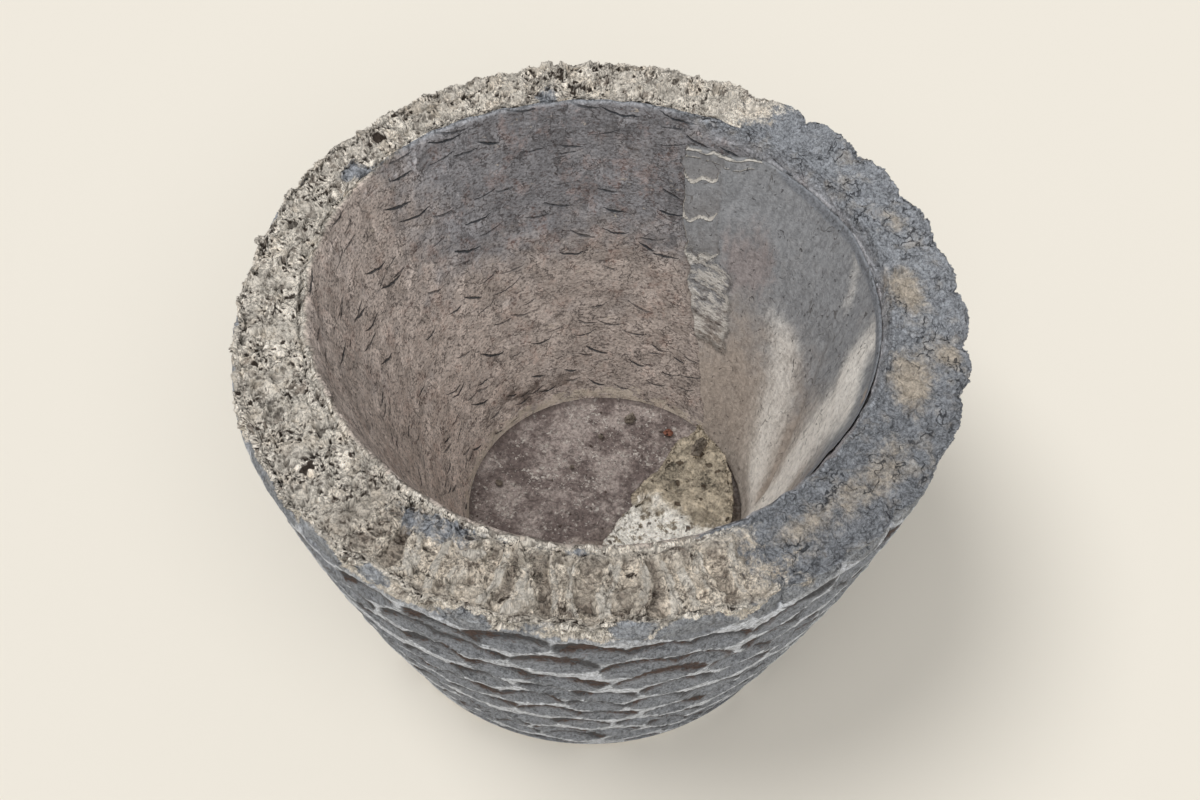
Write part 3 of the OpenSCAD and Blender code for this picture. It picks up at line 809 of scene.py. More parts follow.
def pale_material(colours):
    """The pale block: olive-grey, with dark pits, two soft hollows darker with painted shade, and a white
    painted highlight low on its left.
    """
    material, b = new_material("pale_stone")
    place = b.attribute("rest", "Vector")
    x, y = b.parts(place)[:2]
    blotch = b.noise(place, 0.030, 4.0, 0.65, 51.0)
    patch = b.noise(place, 0.012, 4.0, 0.7, 52.0)
    grain = b.noise(place, 0.0038, 4.0, 0.75, 53.0)
    from_first, from_second = (b.vector("DISTANCE", place, middle, "Value") for middle in SHADED_HOLLOWS)
    # Painted shade in the block's two soft hollows
    hollows = b.most(b.step(from_first, 0.024, 0.006), b.step(from_second, 0.019, 0.004))
    stone = b.mix(b.step(patch + blotch.sway(0.6), 0.40, 0.62), b.tint(colours.pale_stone, 0.78),
                  colours.pale_stone)
    # A white painted highlight low on the block's left
    low_left = b.step((0.062 - x) * 0.6 - y + blotch.sway(0.10) + patch.sway(0.05), 0.000, 0.030)
    white_highlight = low_left * b.step(patch + grain.sway(0.3), 0.38, 0.46)
    holes = pits(b, place, 0.0085, 0.30, 16.0)
    small = b.step(b.noise(place, 0.0042, 3.0, 0.7, 54.0), 0.63, 0.69)
    tone = 0.42 + 0.62 * b.step(grain, 0.34, 0.66) + 0.38 * b.step(patch, 0.38, 0.62) - 0.42 * hollows
    stone = b.coats(
        b.tint(stone, tone),
        (white_highlight * 0.92, b.tint(shade(252, 248, 239), 0.66 + 0.58 * b.step(grain, 0.36, 0.62))),
        (b.most(holes * 0.85, small * 0.6), shade(76, 62, 50)))
    finish_material(b, stone, grain * 0.0024 + patch * 0.0060 - holes * 0.0024 - small * 0.0010)
    return material


def pitted_material(name, colour, dark, pale, pit_share, place_of_its_own=False, other=None):
    """Small stones: mottled and pitted, with pale weathered patches. A solid that keeps its own mesh has a
    place of its own. The other is the place of one stone, and the colour that it has instead of theirs."""
    material, b = new_material(name)
    place = b.out("Object", "ShaderNodeTexCoord") if place_of_its_own else b.attribute("rest", "Vector")
    blotch = b.noise(place, 0.012, 4.0, 0.65, 61.0)
    grain = b.noise(place, 0.0030, 3.0, 0.7, 63.0)
    stone = b.mix(b.step(blotch, 0.50, 0.64), colour, pale)
    if other is not None:
        stone = b.mix(b.step(b.vector("DISTANCE", place, other[0], "Value"), 0.017, 0.014), stone, other[1])
    holes = pits(b, place, 0.006, pit_share, 16.0)
    stone = b.mix(holes * 0.85, b.tint(stone, 0.6 + 0.65 * b.step(grain, 0.30, 0.70)), dark)
    finish_material(b, stone, grain * 0.0012 + blotch * 0.0015 - holes * 0.0012)
    return material


class PLANTER_OT_stage(bpy.types.Operator):
    """Sets the camera, the pale floor and the soft light"""

    bl_idname = "planter.stage"
    bl_label = "Camera, floor and light"

    def execute(self, context):
        colours = context.scene.planter_colours
        light = context.scene.planter_light
        look = Vector((math.sin(CAMERA_YAW) * math.cos(CAMERA_PITCH),
                       math.cos(CAMERA_YAW) * math.cos(CAMERA_PITCH), -math.sin(CAMERA_PITCH)))
        level = look.cross(Vector((0, 0, 1))).normalized()
        rise = level.cross(look)
        right = level * math.cos(CAMERA_ROLL) + rise * math.sin(CAMERA_ROLL)
        up = rise * math.cos(CAMERA_ROLL) - level * math.sin(CAMERA_ROLL)
        lens = bpy.data.cameras.new("camera")
        lens.sensor_fit = "HORIZONTAL"
        lens.sensor_width = SENSOR_WIDTH
        lens.lens = FOCAL_PIXELS * SENSOR_WIDTH / PICTURE_WIDTH
        camera = bpy.data.objects.new("camera", lens)
        turned = Matrix((right, up, -look)).transposed().to_4x4()
        camera.matrix_world = Matrix.Translation(CAMERA_PLACE) @ turned
        context.collection.objects.link(camera)
        context.scene.camera = camera
        context.scene.view_settings.view_transform = "Standard"

        material, bench = new_material("pale_floor")
        surface = bench.out("BSDF", "ShaderNodeBsdfPrincipled", Base_Color=tuple(colours.floor),
                            Roughness=1.0, Specular_IOR_Level=0.0)
        bench.node("ShaderNodeOutputMaterial", Surface=surface)
        mesh = bpy.data.meshes.new("floor")
        corners = [(x * FLOOR_HALF, y * FLOOR_HALF, 0) for x, y in ((-1, -1), (1, -1), (1, 1), (-1, 1))]
        mesh.from_pydata(corners, [], [(0, 1, 2, 3)])
        mesh.materials.append(material)
        floor = new_piece("floor", mesh)

        world = bpy.data.worlds.new("studio")
        world.use_nodes = True
        background = world.node_tree.nodes["Background"]
        background.inputs["Color"].default_value = (1.0, 1.0, 1.0, 1.0)
        background.inputs["Strength"].default_value = light.sky
        context.scene.world = world
        for name, (width, azimuth, height) in SOFT_LIGHTS.items():
            sun = bpy.data.lights.new(name, "SUN")
            sun.energy = getattr(light, name)
            sun.angle = math.radians(width)
            lamp = bpy.data.objects.new(name, sun)
            a, e = math.radians(azimuth), math.radians(height)
            towards = Vector((math.cos(a) * math.cos(e), math.sin(a) * math.cos(e), math.sin(e)))
            lamp.rotation_euler = towards.to_track_quat("Z", "Y").to_euler()
            context.collection.objects.link(lamp)
        return {"FINISHED"}


def keep_in_box(piece, node, soft=0.004):
    """Presses a piece's outermost points back into its solid's box, softly, so that it is never larger."""
    low, high = (np.array(corner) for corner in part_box(node))
    co = stored_numbers(piece.data, "position").reshape(-1, 3).astype(float)
    for axis in (0, 1, 2):
        over = co[:, axis] - (high[axis] - soft)
        co[:, axis] = np.where(over > 0, high[axis] - soft * np.exp(-over / soft), co[:, axis])
        if axis < 2:
            under = (low[axis] + soft) - co[:, axis]
            co[:, axis] = np.where(under > 0, low[axis] + soft * np.exp(-under / soft), co[:, axis])
    co[:, 2] = np.maximum(co[:, 2], low[2])
    piece.data.vertices.foreach_set("co", co.reshape(-1).astype(np.float32))
    piece.data.update()


def split_stone(points, numbers, material, outer_seam, inner_seam):
    """Wears the hewn stone as two meshes that meet in two seams. The vessel has one column of points for each
    four of the rim's, and the rim is cut into four pieces. The numbers are stored with the points."""
    outward = calm(grid_normals(points, closed_rows=True))
    whole = np.arange(len(points))
    vessel_rows = np.concatenate([whole[:outer_seam + 1], [outer_seam, inner_seam], whole[inner_seam:]])
    rim_rows = np.concatenate([[outer_seam], whole[outer_seam:inner_seam + 1], [inner_seam]])
    sparse = 4
    for name, rows, skip, rise, parts in (("vessel", vessel_rows, sparse, 1, 1), ("rim", rim_rows, 1, -1, 4)):
        rest = points[rows][:, ::skip]
        stored = {key: values[rows][:, ::skip] for key, values in numbers.items()}
        mesh = grid_mesh("stone_" + name, rest, closed_rows=True)
        for key, values in {"rest": rest, "outward": outward[rows][:, ::skip], **stored}.items():
            add_numbers(mesh, key, values)
        piece = wear(new_piece(name, mesh), material, 4.0, Lump=(0.016, 0.0036), Facet=(0.018, 0.24),
                     Grain=(0.0078, 0.0034), Pit=(0.0092, 0.0042), Hole=(0.0050, 0.0027))
        keep_in_box(piece, "stone_body")
        co = stored_numbers(piece.data, "position").reshape(len(rows), -1, 3)
        # The two seams match, and each piece goes on a little under the other, where it isn't seen
        for seam in (outer_seam, inner_seam):
            k = np.flatnonzero(rows == seam)
            edge, tuck = (k[0], k[1]) if (name == "vessel") == (seam == outer_seam) else (k[1], k[0])
            if name == "rim":
                corner = co[edge, ::sparse].copy()
                way = np.roll(corner, -1, axis=0) - corner
                for step in range(1, sparse):
                    co[edge, step::sparse] = corner + way * step / sparse
            co[tuck] = co[edge] - TUCK_IN * outward[seam, ::skip]
            co[tuck, :, 2] += TUCK_UNDER * rise
        for key in ("worn", "cavity"):
            stored[key] = stored_numbers(piece.data, key).reshape(len(rows), -1)
        bpy.data.objects.remove(piece)
        around = co.shape[1]
        for part in range(parts):
            here = np.arange(part * around // parts, (part + 1) * around // parts + (parts > 1)) % around
            mesh = grid_mesh(name, co[:, here], closed_rows=True, closed_columns=parts == 1)
            mesh.materials.append(material)
            for key, values in {"rest": rest, **stored}.items():
                add_numbers(mesh, key, values[:, here])
            piece = new_piece(name if parts == 1 else "%s_%d" % (name, part + 1), mesh)
            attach(piece, "planter")
            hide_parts("stone_body")


class PLANTER_OT_stone_body(bpy.types.Operator):
    """Makes the hewn vessel: foot, scalloped outside, ragged rim, dressed hollow and drain hole"""

    bl_idname = "planter.stone_body"
    bl_label = "Hewn vessel"

    columns: count("Columns", "Points round the rim, four times those round the vessel", 2400)

    def execute(self, context):
        sizes = context.scene.planter_sizes
        colours = context.scene.planter_colours
        i = np.arange(self.columns)
        azimuth = (360 * i / self.columns)[None, :]
        a = np.radians(azimuth)
        marks_u = (sizes.marks_round * i / self.columns)[None, :]
        rim_low = sizes.height - sizes.rim_edge
        seam_out, seam_in = sizes.height - SEAM_OUT, sizes.height - SEAM_IN
        solid_columns = 4 * sizes.marks_round
        solid_u = azimuth / 360 * solid_columns
        ragged = 0.4 + 0.6 * np.clip(1.44 - 2.56 * np.cos(np.radians(azimuth + 3)), 0, 1)
        bite = 0.5 * sizes.rim_rough * ragged * blended(solid_u, 0 * solid_u, solid_columns, 19)

        def ring(r, z, x=0.0):
            return np.stack(np.broadcast_arrays(x + r * np.cos(a), r * np.sin(a), z + 0 * a), axis=-1)

        # Underside and foot, flat on the ground
        under_rows = 8
        under_r = np.linspace(sizes.drain_radius, sizes.foot_radius - sizes.foot_edge, under_rows)[:, None]
        under = ring(under_r, np.zeros((under_rows, 1)))

        # Outside, foot to rim
        low_rows, lip_rows = 84, 27
        z = np.concatenate([np.linspace(sizes.foot_edge, seam_out, low_rows),
                            np.linspace(seam_out, rim_low, lip_rows)[1:]])[:, None]
        course = (z - sizes.foot_edge) / (rim_low - sizes.foot_edge) * sizes.courses - sizes.course_cut
        course = (course + 0.16 * np.sin(5 * a + 1.0) + 0.13 * np.sin(11 * a + course)
                  + 0.10 * np.sin(17 * a + 2.0))
        bent_u = marks_u + 0.16 * np.sin(course * 2.1 + 3 * a) + 0.10 * np.sin(7 * a + course * 1.1)
        depth, height = tool_marks(bent_u, course, sizes.marks_round, steep=1.35)
        depth = depth * smooth(z, sizes.foot_edge, sizes.foot_edge + 0.006)
        right = np.minimum(1, 1.6 * np.maximum(0, np.cos(a - 0.15)))
        lobed = right * smooth(z, sizes.height - sizes.lobe_drop, sizes.height - 0.4 * sizes.lobe_drop)
        lobe_u = marks_u + 0.5 + 0.05 * np.sin(6 * a)
        lobe_edge = np.abs(2 * (lobe_u % 1) - 1)
        lobe_size = 0.35 + 0.65 * chance(np.floor(lobe_u), 90)
        r = outer_radius(sizes, azimuth, z) - sizes.mark_depth * depth * (1 - lobed) - OUTSIDE_INSET
        r = r - 1.45 * sizes.lobe_depth * lobe_edge ** 2.4 * lobe_size * lobed
        outside = ring(r, z - bite * np.maximum(0, (z - seam_out) / (rim_low - seam_out)))
        wall_depth = depth * (1 - lobed)
        # The visible upper part of each mark, just under the ridge above, where the outside gets painted
        # shade
        shaded = smooth(height, -0.46, -0.08) * smooth(wall_depth, 0.02, 0.14)

        # Hollow, rim to stone floor. The lobes' grooves stay out of its wall behind the lining
        groove = right * lobe_edge ** 4 * lobe_size
        inner_rows, deep_rows = 23, 60
        deep = seam_in + (sizes.base - seam_in) * np.linspace(0, 1, deep_rows)[1:] ** 1.05
        hz = np.concatenate([np.linspace(rim_low, seam_in, inner_rows), deep])[:, None]
        lip = smooth(hz, rim_low - 0.03, rim_low)
        free = smooth(hz, sizes.bed + 0.012, sizes.bed + 0.045)
        dress_share, dress_height, dress_depth = 1.25, 0.034, 0.0016
        dress_u = marks_u * dress_share + 0.5 * np.sin(hz * 40 + 3 * a)
        dress_v = hz / dress_height + 0.4 * np.sin(7 * a + hz * 25)
        dress = tool_marks(dress_u, dress_v, int(sizes.marks_round * dress_share), steep=1.3)[0]
        lined = fade(turn_gap(azimuth, 20), 48, 62)
        cut = dress_depth * dress * free + 0.5 * sizes.lobe_depth * groove * lip * (1 - 0.9 * lined)
        hollow = hollow_point(sizes, azimuth, hz, -cut)

        # Top of the rim, from its outer to its inner edge, with clefts and ribs across its front
        top_rows = 84
        cleft_depth = 0.0055
        s = np.linspace(0, 1, top_rows + 2)[1:-1, None]
        top = outside[-1:] + (hollow[:1] - outside[-1:]) * s[..., None]
        crown = 1 - np.abs(2 * s - 1) ** 7
        rib_line = azimuth / 4.2 + 0.8 * wander(azimuth * 0.22, 5) + 0.20 * np.sin(s * 5 + azimuth * 0.3)
        cleft = smooth(0.5 - 0.5 * np.sin(2 * np.pi * rib_line), 0.35, 0.90)
        cleft = cleft * (0.2 + 0.8 * wander(azimuth * 0.37 + s, 15))
        front = fade(turn_gap(azimuth, 266), 24, 42) * smooth(s, 0.02, 0.2) * smooth(1 - s, 0.05, 0.3)
        lumps = blended(solid_u, np.clip(6 * s - 0.5, 0, 5), solid_columns, 20)
        lumps = lumps * (0.4 + 0.6 * smooth(0.5 - np.abs(s - 0.5), 0.08, 0.25)) * ragged
        level = rim_low + sizes.rim_edge * crown - bite * smooth(1 - s, 0.85, 1.0)
        level = level - sizes.rim_rough * lumps - sizes.lobe_depth * groove * (1 - 0.6 * s)
        top[..., 2] = level - cleft_depth * front * cleft

        # Stone floor and drain hole, both under the bed
        floor_rows, bore_rows = 5, 3
        floor_share = np.linspace(0, 1, floor_rows + 1)[1:, None]
        floor_r = sizes.floor_radius + (sizes.drain_radius - sizes.floor_radius) * floor_share
        floor = ring(floor_r, np.full((floor_rows, 1), sizes.base), sizes.floor_shift * (1 - floor_share))
        bore = ring(np.full((bore_rows, 1), sizes.drain_radius),
                    np.linspace(sizes.base, 0, bore_rows + 2)[1:-1, None])

        groups = (under, outside, top, hollow, floor, bore)
        points = np.concatenate(groups)
        starts = np.cumsum([0] + [len(part) for part in groups])
        shape = points.shape[:2]
        from_axis = np.hypot(points[..., 0], points[..., 1])

        def layer(outside=0, top=0, hollow=0, deep=0):
            """One number for each point, given by group. Deep is the stone floor and the drain hole."""
            out = np.zeros(shape)
            for k, value in enumerate((0, outside, top, hollow, deep, deep)):
                out[starts[k]:starts[k + 1]] = value
            return out

        def patches(*places):
            """Soft patches on the rim, from their strengths, azimuths, lengths, radii and widths."""
            return sum(strength * np.exp(-(np.radians(turn_gap(azimuth, middle)) * radius / reach) ** 2
                                         - ((from_axis - radius) / width) ** 2)
                       for strength, middle, reach, radius, width in places)

        rocky = fade(turn_gap(azimuth, 177), 100, 124)
        rim_of_wall = smooth(z - 0.022 * wall_depth, seam_out, sizes.height - 0.018)
        lip_deep = 0.005 + 0.020 * fade(turn_gap(azimuth, 20), 44, 58)
        rim_of_hollow = smooth(hz, rim_low - lip_deep, rim_low - 0.3 * lip_deep + 0.0015)
        rough = layer(0.14 + (0.36 + 0.50 * rocky) * rim_of_wall, 0.60 + 0.40 * rocky,
                      rim_of_hollow * (0.3 + 0.3 * rocky) + 0.10 * free)
        rough[starts[1]] = 0
        # Where the rim and the top of the outside are cream or tan with painted sunlight, round the left; on
        # the hollow's wall, where it is warm brown-grey
        warm = fade(turn_gap(azimuth, 176), 102, 138) - patches(
            (0.8, 148, 0.016, 0.256, 0.018), (0.8, 103, 0.014, 0.252, 0.022), (0.8, 50, 0.030, 0.243, 0.020),
            (0.75, 243, 0.034, 0.250, 0.014), (0.5, 262, 0.060, 0.237, 0.006))
        warm[starts[1]:starts[2]] *= rim_of_wall
        cool_wall = (fade(turn_gap(azimuth, 96), 30, 62) * smooth(hz, 0.20, 0.30),
                     fade(turn_gap(azimuth, -16), 46, 66) + 0 * hz,
                     fade(turn_gap(azimuth, 8), 54, 72) * smooth(hz, 0.24, 0.30))
        warm[starts[3]:starts[4]] = 1 - np.maximum.reduce(cool_wall)
        # Painted shade over the back of the hollow's wall
        wall_painted_shade = (0.36 + 0.10 * smooth(hz, 0.20, 0.30)) * fade(turn_gap(azimuth, 82), 18, 88)
        stain = np.exp(-((hz - sizes.bed - 0.024) / 0.013) ** 2) * fade(turn_gap(azimuth, 128), 10, 58)
        numbers = {
            "rim": layer(smooth(z, seam_out, sizes.height - 0.022), 1, rim_of_hollow),
            "inside": layer(hollow=1 - rim_of_hollow, deep=1),
            "depth": layer(wall_depth),
            "shaded": layer(shaded),
            "rough": rough,
            "pitted": layer(rim_of_wall * (0.3 + 0.4 * rocky), (0.35 + 0.65 * rocky) * (1 - 0.55 * front),
                            0.3 * rim_of_hollow * rocky),
            "warm": warm,
            "tanned": patches((1, 4, 0.030, 0.254, 0.020), (1, 343, 0.030, 0.256, 0.022),
                              (0.8, 351, 0.018, 0.286, 0.014), (0.6, 22, 0.03, 0.272, 0.018),
                              (0.6, 322, 0.06, 0.27, 0.02), (0.5, 305, 0.05, 0.26, 0.02)),
            "front": layer(top=front),
            # Painted shade on the rim's front right and on the back of the hollow
            "dim": layer(top=0.28 * fade(turn_gap(azimuth, 315), 15, 50),
                         hollow=wall_painted_shade * (1 - rim_of_hollow)),
            "foot": layer(hollow=fade(hz, sizes.bed + 0.004, sizes.bed + 0.016)),
            "stain": layer(hollow=stain),
            "ribs": layer(top=front * (1 - cleft)),
        }
        split_stone(points, numbers, hewn_stone(colours),
                    outer_seam=starts[1] + low_rows - 1, inner_seam=starts[3] + inner_rows - 1)
        return {"FINISHED"}


class PLANTER_OT_lime_lining(bpy.types.Operator):
    """Makes the lining on the right of the hollow, with its flutes, its scooped strip and its broken edge"""

    bl_idname = "planter.lime_lining"
    bl_label = "Lime lining"

    start: number("Start", "Azimuth where the lining fades out", -32.0)
    end: number("End", "Azimuth of the broken edge at its top", 71.5)
    sweep: number("Sweep", "How far the broken edge sweeps round going down", 29.0)
    strip: number("Strip", "Width of the scooped strip along the broken edge, in degrees", 10.0)

    def execute(self, context):
        sizes = context.scene.planter_sizes
        colours = context.scene.planter_colours
        columns, rows = 300, 160
        u = np.linspace(0, 1, columns)[None, :]
        v = np.linspace(0, 1, rows)[:, None]
        low = sizes.bed + CLEARANCE
        lip_drop = 0.0235
        lip = sizes.height - lip_drop + 0.0025 * (wander(u * 24, 3) - 0.5) - 0.010 * smooth(u, 0.80, 0.93)
        lip = lip + 0.0030 * fade(u, 0.45, 0.70)
        z = low + (lip - low) * v
        climb = np.maximum(0, 1 - (z - sizes.bed) / (sizes.height - sizes.bed))
        ragged = 1.5 * (wander(v * 19, 4) - 0.5) + 0.9 * (wander(v * 61, 6) - 0.5)
        fade_line = self.start + 3.0 * (wander(v * 13, 13) - 0.5) + 1.2 * (wander(v * 47, 14) - 0.5)
        azimuth = fade_line + (self.end - self.sweep * climb ** 2.2 + ragged - fade_line) * u
        from_edge = (1 - u) * (azimuth[:, -1:] - self.start)

        def flute(reach, bottom, top_end, *line):
            """A soft band round a line of azimuths and heights."""
            places, heights = zip(*line)
            middle = np.interp(z, heights, places)
            return (np.exp(-(turn_gap(azimuth, middle) / reach) ** 2)
                    * smooth(z, bottom, bottom + 0.03) * fade(z, top_end - 0.025, top_end))

        broad = flute(9.5, 0.085, 0.352, (-20, 0.10), (-19, 0.173), (-16, 0.190), (-13.5, 0.214),
                      (-12, 0.238), (-12, 0.266), (-13, 0.300), (-15.5, 0.330))
        upper = flute(5.5, 0.290, 0.386, (-4.8, 0.310), (-3.5, 0.340), (-3.5, 0.360), (-2.4, 0.372))
        small = flute(11.0, 0.090, 0.265, (0, 0.095), (8, 0.131), (13, 0.160), (17, 0.193), (20, 0.212),
                      (25, 0.234), (27, 0.250))
        faint = flute(3.0, 0.300, 0.384, (13, 0.33), (18, 0.357), (20, 0.373))
        trough = flute(2.0, 0.110, 0.300, (-6, 0.150), (-3.8, 0.160), (0.2, 0.180), (3.4, 0.202),
                       (7.4, 0.226), (9.7, 0.254), (12.4, 0.279))

        # Scoops hang in a strip along the broken edge, each with a painted highlight on its lip
        in_strip = fade(from_edge, self.strip - 0.6, self.strip + 0.6)
        high = smooth(z, 0.235, 0.250)
        scoop_top, scoop_height = 0.287, 0.0365
        scoop_v = (z - scoop_top) / scoop_height + 0.10 * np.sin(from_edge * 0.9)
        across = (from_edge - self.strip / 2) / (self.strip / 2)
        hang = scoop_v - 0.30 * (across + 0.25) ** 2
        scoop_lip = np.exp(-(((hang + 0.06) % 1 - 0.06) / 0.055) ** 2) * in_strip * high
        scoops = (hang % 1) * in_strip * high
        # Chipped ledges, which get painted highlights and painted shadow
        chips = fade(from_edge + 5.0 * (wander(z * 85, 11) - 0.5), 10, 18)
        chips = chips * smooth(z, 0.160, 0.190) * fade(z, 0.248, 0.268)
        # Two lines along the torn lip, and the broken edge, which get painted highlights
        torn = lip - 0.004 + 0.004 * wander(azimuth / 2.2, 8)
        second = torn - 0.010 + 0.004 * wander(azimuth / 3, 9)
        rim_crack = smooth(azimuth, 49, 54) * (np.exp(-((z - torn) / 0.0016) ** 2)
                                               + 0.8 * np.exp(-((z - second) / 0.0014) ** 2))
        broken_edge = np.exp(-(from_edge / 0.8) ** 2)
        broken_edge = broken_edge * (0.35 + 0.65 * smooth(z, 0.225, 0.245) * fade(z, 0.305, 0.325))
        sunlit = 0.26 * fade(z, 0.130, 0.255) * fade(azimuth, 5, 52)

        # Thickness, which goes to nothing all round
        worn_off, thinnest = 0.0036, 0.0004
        full = np.maximum(smooth(1 - v, 0.0, 0.25), smooth(u, 0.82, 0.9))
        faded = np.minimum(1, 0.04 + 4 * u) * (0.25 + 0.75 * full)
        ripple = 0.0012 * (wander(azimuth / 7 + 1.5 * np.sin(z * 20), 12) - 0.5)
        thick = sizes.lining - worn_off + ripple + 0.0028 * broad + 0.0024 * upper + 0.0022 * small
        thick = thick - 0.0030 * trough
        thick = thick - 0.0022 * (1 - scoops) * in_strip * smooth(z, 0.240, 0.250)
        thick = thick + 0.0022 * chips * (wander(z * 130, 7) - 0.5)
        thick = np.clip(thick * faded, thinnest, sizes.lining)
        thick[:, [0, -1]] = 0
        thick[[0, -1]] = 0
        front = hollow_point(sizes, azimuth, z, CLEARANCE + thick)
        back = hollow_point(sizes, azimuth, z, CLEARANCE)
        # The front climbs and the back comes down again, and the two meet all round
        points = np.concatenate([front[:, ::-1], back[-2:0:-1, ::-1]])
        normals = grid_normals(front[:, ::-1], closed_columns=False)
        mesh = grid_mesh("lime_lining", points, closed_rows=True, closed_columns=False)
        add_numbers(mesh, "rest", points)
        add_numbers(mesh, "outward", np.concatenate([normals, np.zeros((rows - 2, columns, 3))]))
        edge = np.clip(np.minimum(np.minimum(u * 8, (1 - u) * 60), np.minimum((1 - v) * 30, v * 30)), 0, 1)
        under_rim = smooth(z, lip - 0.016, lip - 0.001) * fade(azimuth, 42, 52)
        # Painted sunlight on the flutes' faces, less in the trough
        pale = broad + 0.75 * upper + 0.64 * small + 0.35 * faint + sunlit - 0.9 * trough
        for key, values in {
                "rough": (0.10 + 0.10 * chips) * edge,
                "pitted": 0.5 * chips * edge,
                "fresh": np.clip(pale, 0, 1) * smooth(u, 0.005, 0.085),
                "under_rim": np.maximum(under_rim, fade(u, 0.005, 0.060)),
                "cool": smooth(z + 0.0008 * (azimuth - 20), 0.14, 0.32),
                "strip": np.clip(0.95 * scoop_lip + 0.9 * rim_crack + 0.9 * broken_edge, 0, 1),
                "chips": chips,
                # Painted shade inside the scoops
                "scooped": (1 - scoops) * in_strip * high,
                "pink": np.exp(-((azimuth - 48) / 12) ** 2 - ((z - 0.27) / 0.05) ** 2)}.items():
            add_numbers(mesh, key, np.concatenate([values[:, ::-1], np.zeros((rows - 2, columns))]))
        piece = wear(new_piece("lining", mesh), lime_material(colours), 9.0, Lump=(0.035, 0.006),
                     Facet=(0.030, 0.10), Grain=(0.008, 0.0025), Pit=(0.012, 0.003))
        close_seams(piece)
        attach(piece, "planter")
        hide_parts("lime_lining")
        return {"FINISHED"}


def close_seams(piece):
    """Joins the points of a piece that lie at one place."""
    work = bmesh.new()
    work.from_mesh(piece.data)
    bmesh.ops.remove_doubles(work, verts=work.verts, dist=0.000001)
    work.to_mesh(piece.data)
    work.free()


def copy_node(node, name, voxel):
    """A copy of a solid, joined up and remeshed evenly, ready to be worn."""
    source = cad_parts[node]
    mesh = source.data.copy()
    mesh.materials.clear()
    piece = new_piece(name, mesh)
    weld = piece.modifiers.new("Weld", "WELD")
    weld.merge_threshold = 0.00001
    remesh = piece.modifiers.new("Remesh", "REMESH")
    remesh.mode = "VOXEL"
    remesh.voxel_size = voxel
    soften = piece.modifiers.new("Soften", "SMOOTH")
    soften.factor = 0.5
    soften.iterations = 3
    mesh = plain_mesh(piece, name).data
    co = stored_numbers(mesh, "position").reshape(-1, 3)
    normals = np.empty(co.size, dtype=np.float32)
    mesh.vertex_normals.foreach_get("vector", normals)
    add_numbers(mesh, "rest", co[None])
    add_numbers(mesh, "outward", normals.reshape(1, -1, 3))
    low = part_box(node)[0][2]
    share = smooth(co[:, 2].astype(float), low + 0.0005, low + 0.004)
    for key in ("rough", "pitted"):
        add_numbers(mesh, key, share)
    mesh.polygons.foreach_set("use_smooth", np.ones(len(mesh.polygons), dtype=bool))
    return piece


def crumb_tree(material):
    """Scatters crumbs, small lumps of stone and soil, over a bed's upper side."""
    bench, given = geometry_tree("Crumbs", {"Crumbs": 9000.0, "Smallest": 0.0006, "Largest": 0.0026,
                                            "Seed": 3})

    def drawn(low, high, seed, kind="FLOAT"):
        made = bench.node("FunctionNodeRandomValue", {"data_type": kind}, Seed=seed)
        for socket, value in zip([socket for socket in made.inputs if socket.enabled], (low, high)):
            bench.plug(socket, value)
        return Wire(bench, next(socket for socket in made.outputs if socket.enabled))

    surface = given("Geometry")
    position = bench.out("Position", "GeometryNodeInputPosition")
    crowd = bench.out("Fac", "ShaderNodeTexNoise", Vector=position, Scale=45.0, Detail=2.0)
    upward = bench.step(bench.parts(bench.out("Normal", "GeometryNodeInputNormal"))[2], 0.5, 0.8)
    points = bench.out("Points", "GeometryNodeDistributePointsOnFaces", Mesh=surface, Seed=given("Seed"),
                       Density=given("Crumbs") * upward * bench.step(crowd, 0.45, 0.70))
    ball = bench.out("Mesh", "GeometryNodeMeshIcoSphere", Radius=1.0, Subdivisions=2)
    lumpy = bench.out("Color", "ShaderNodeTexNoise", Vector=position, Scale=0.9, Detail=1.0)
    stone = bench.out("Geometry", "GeometryNodeSetPosition", Geometry=ball,
                      Offset=bench.tint(bench.vector("SUBTRACT", lumpy, (0.5, 0.5, 0.5)), 1.6))
    mostly_small = bench.math("POWER", drawn(0.0, 1.0, 7), 3.0)
    size = given("Smallest") + (given("Largest") - given("Smallest")) * mostly_small
    laid = bench.out("Instances", "GeometryNodeInstanceOnPoints", Points=points, Instance=stone,
                     Rotation=drawn((0.0, 0.0, 0.0), (6.28, 6.28, 6.28), 8, "FLOAT_VECTOR"),
                     Scale=bench.tint((1.0, 1.0, 0.7), size))
    told = bench.store(laid, "crumb", drawn(0.1, 1.0, 9), domain="INSTANCE")
    whole = bench.out("Geometry", "GeometryNodeRealizeInstances", Geometry=told)
    both = bench.node("GeometryNodeJoinGeometry")
    for part in (surface, bench.store(whole, "rest", position, "FLOAT_VECTOR")):
        bench.plug(both.inputs["Geometry"], part)
    return finish_tree(bench, bench.wire(both), material)


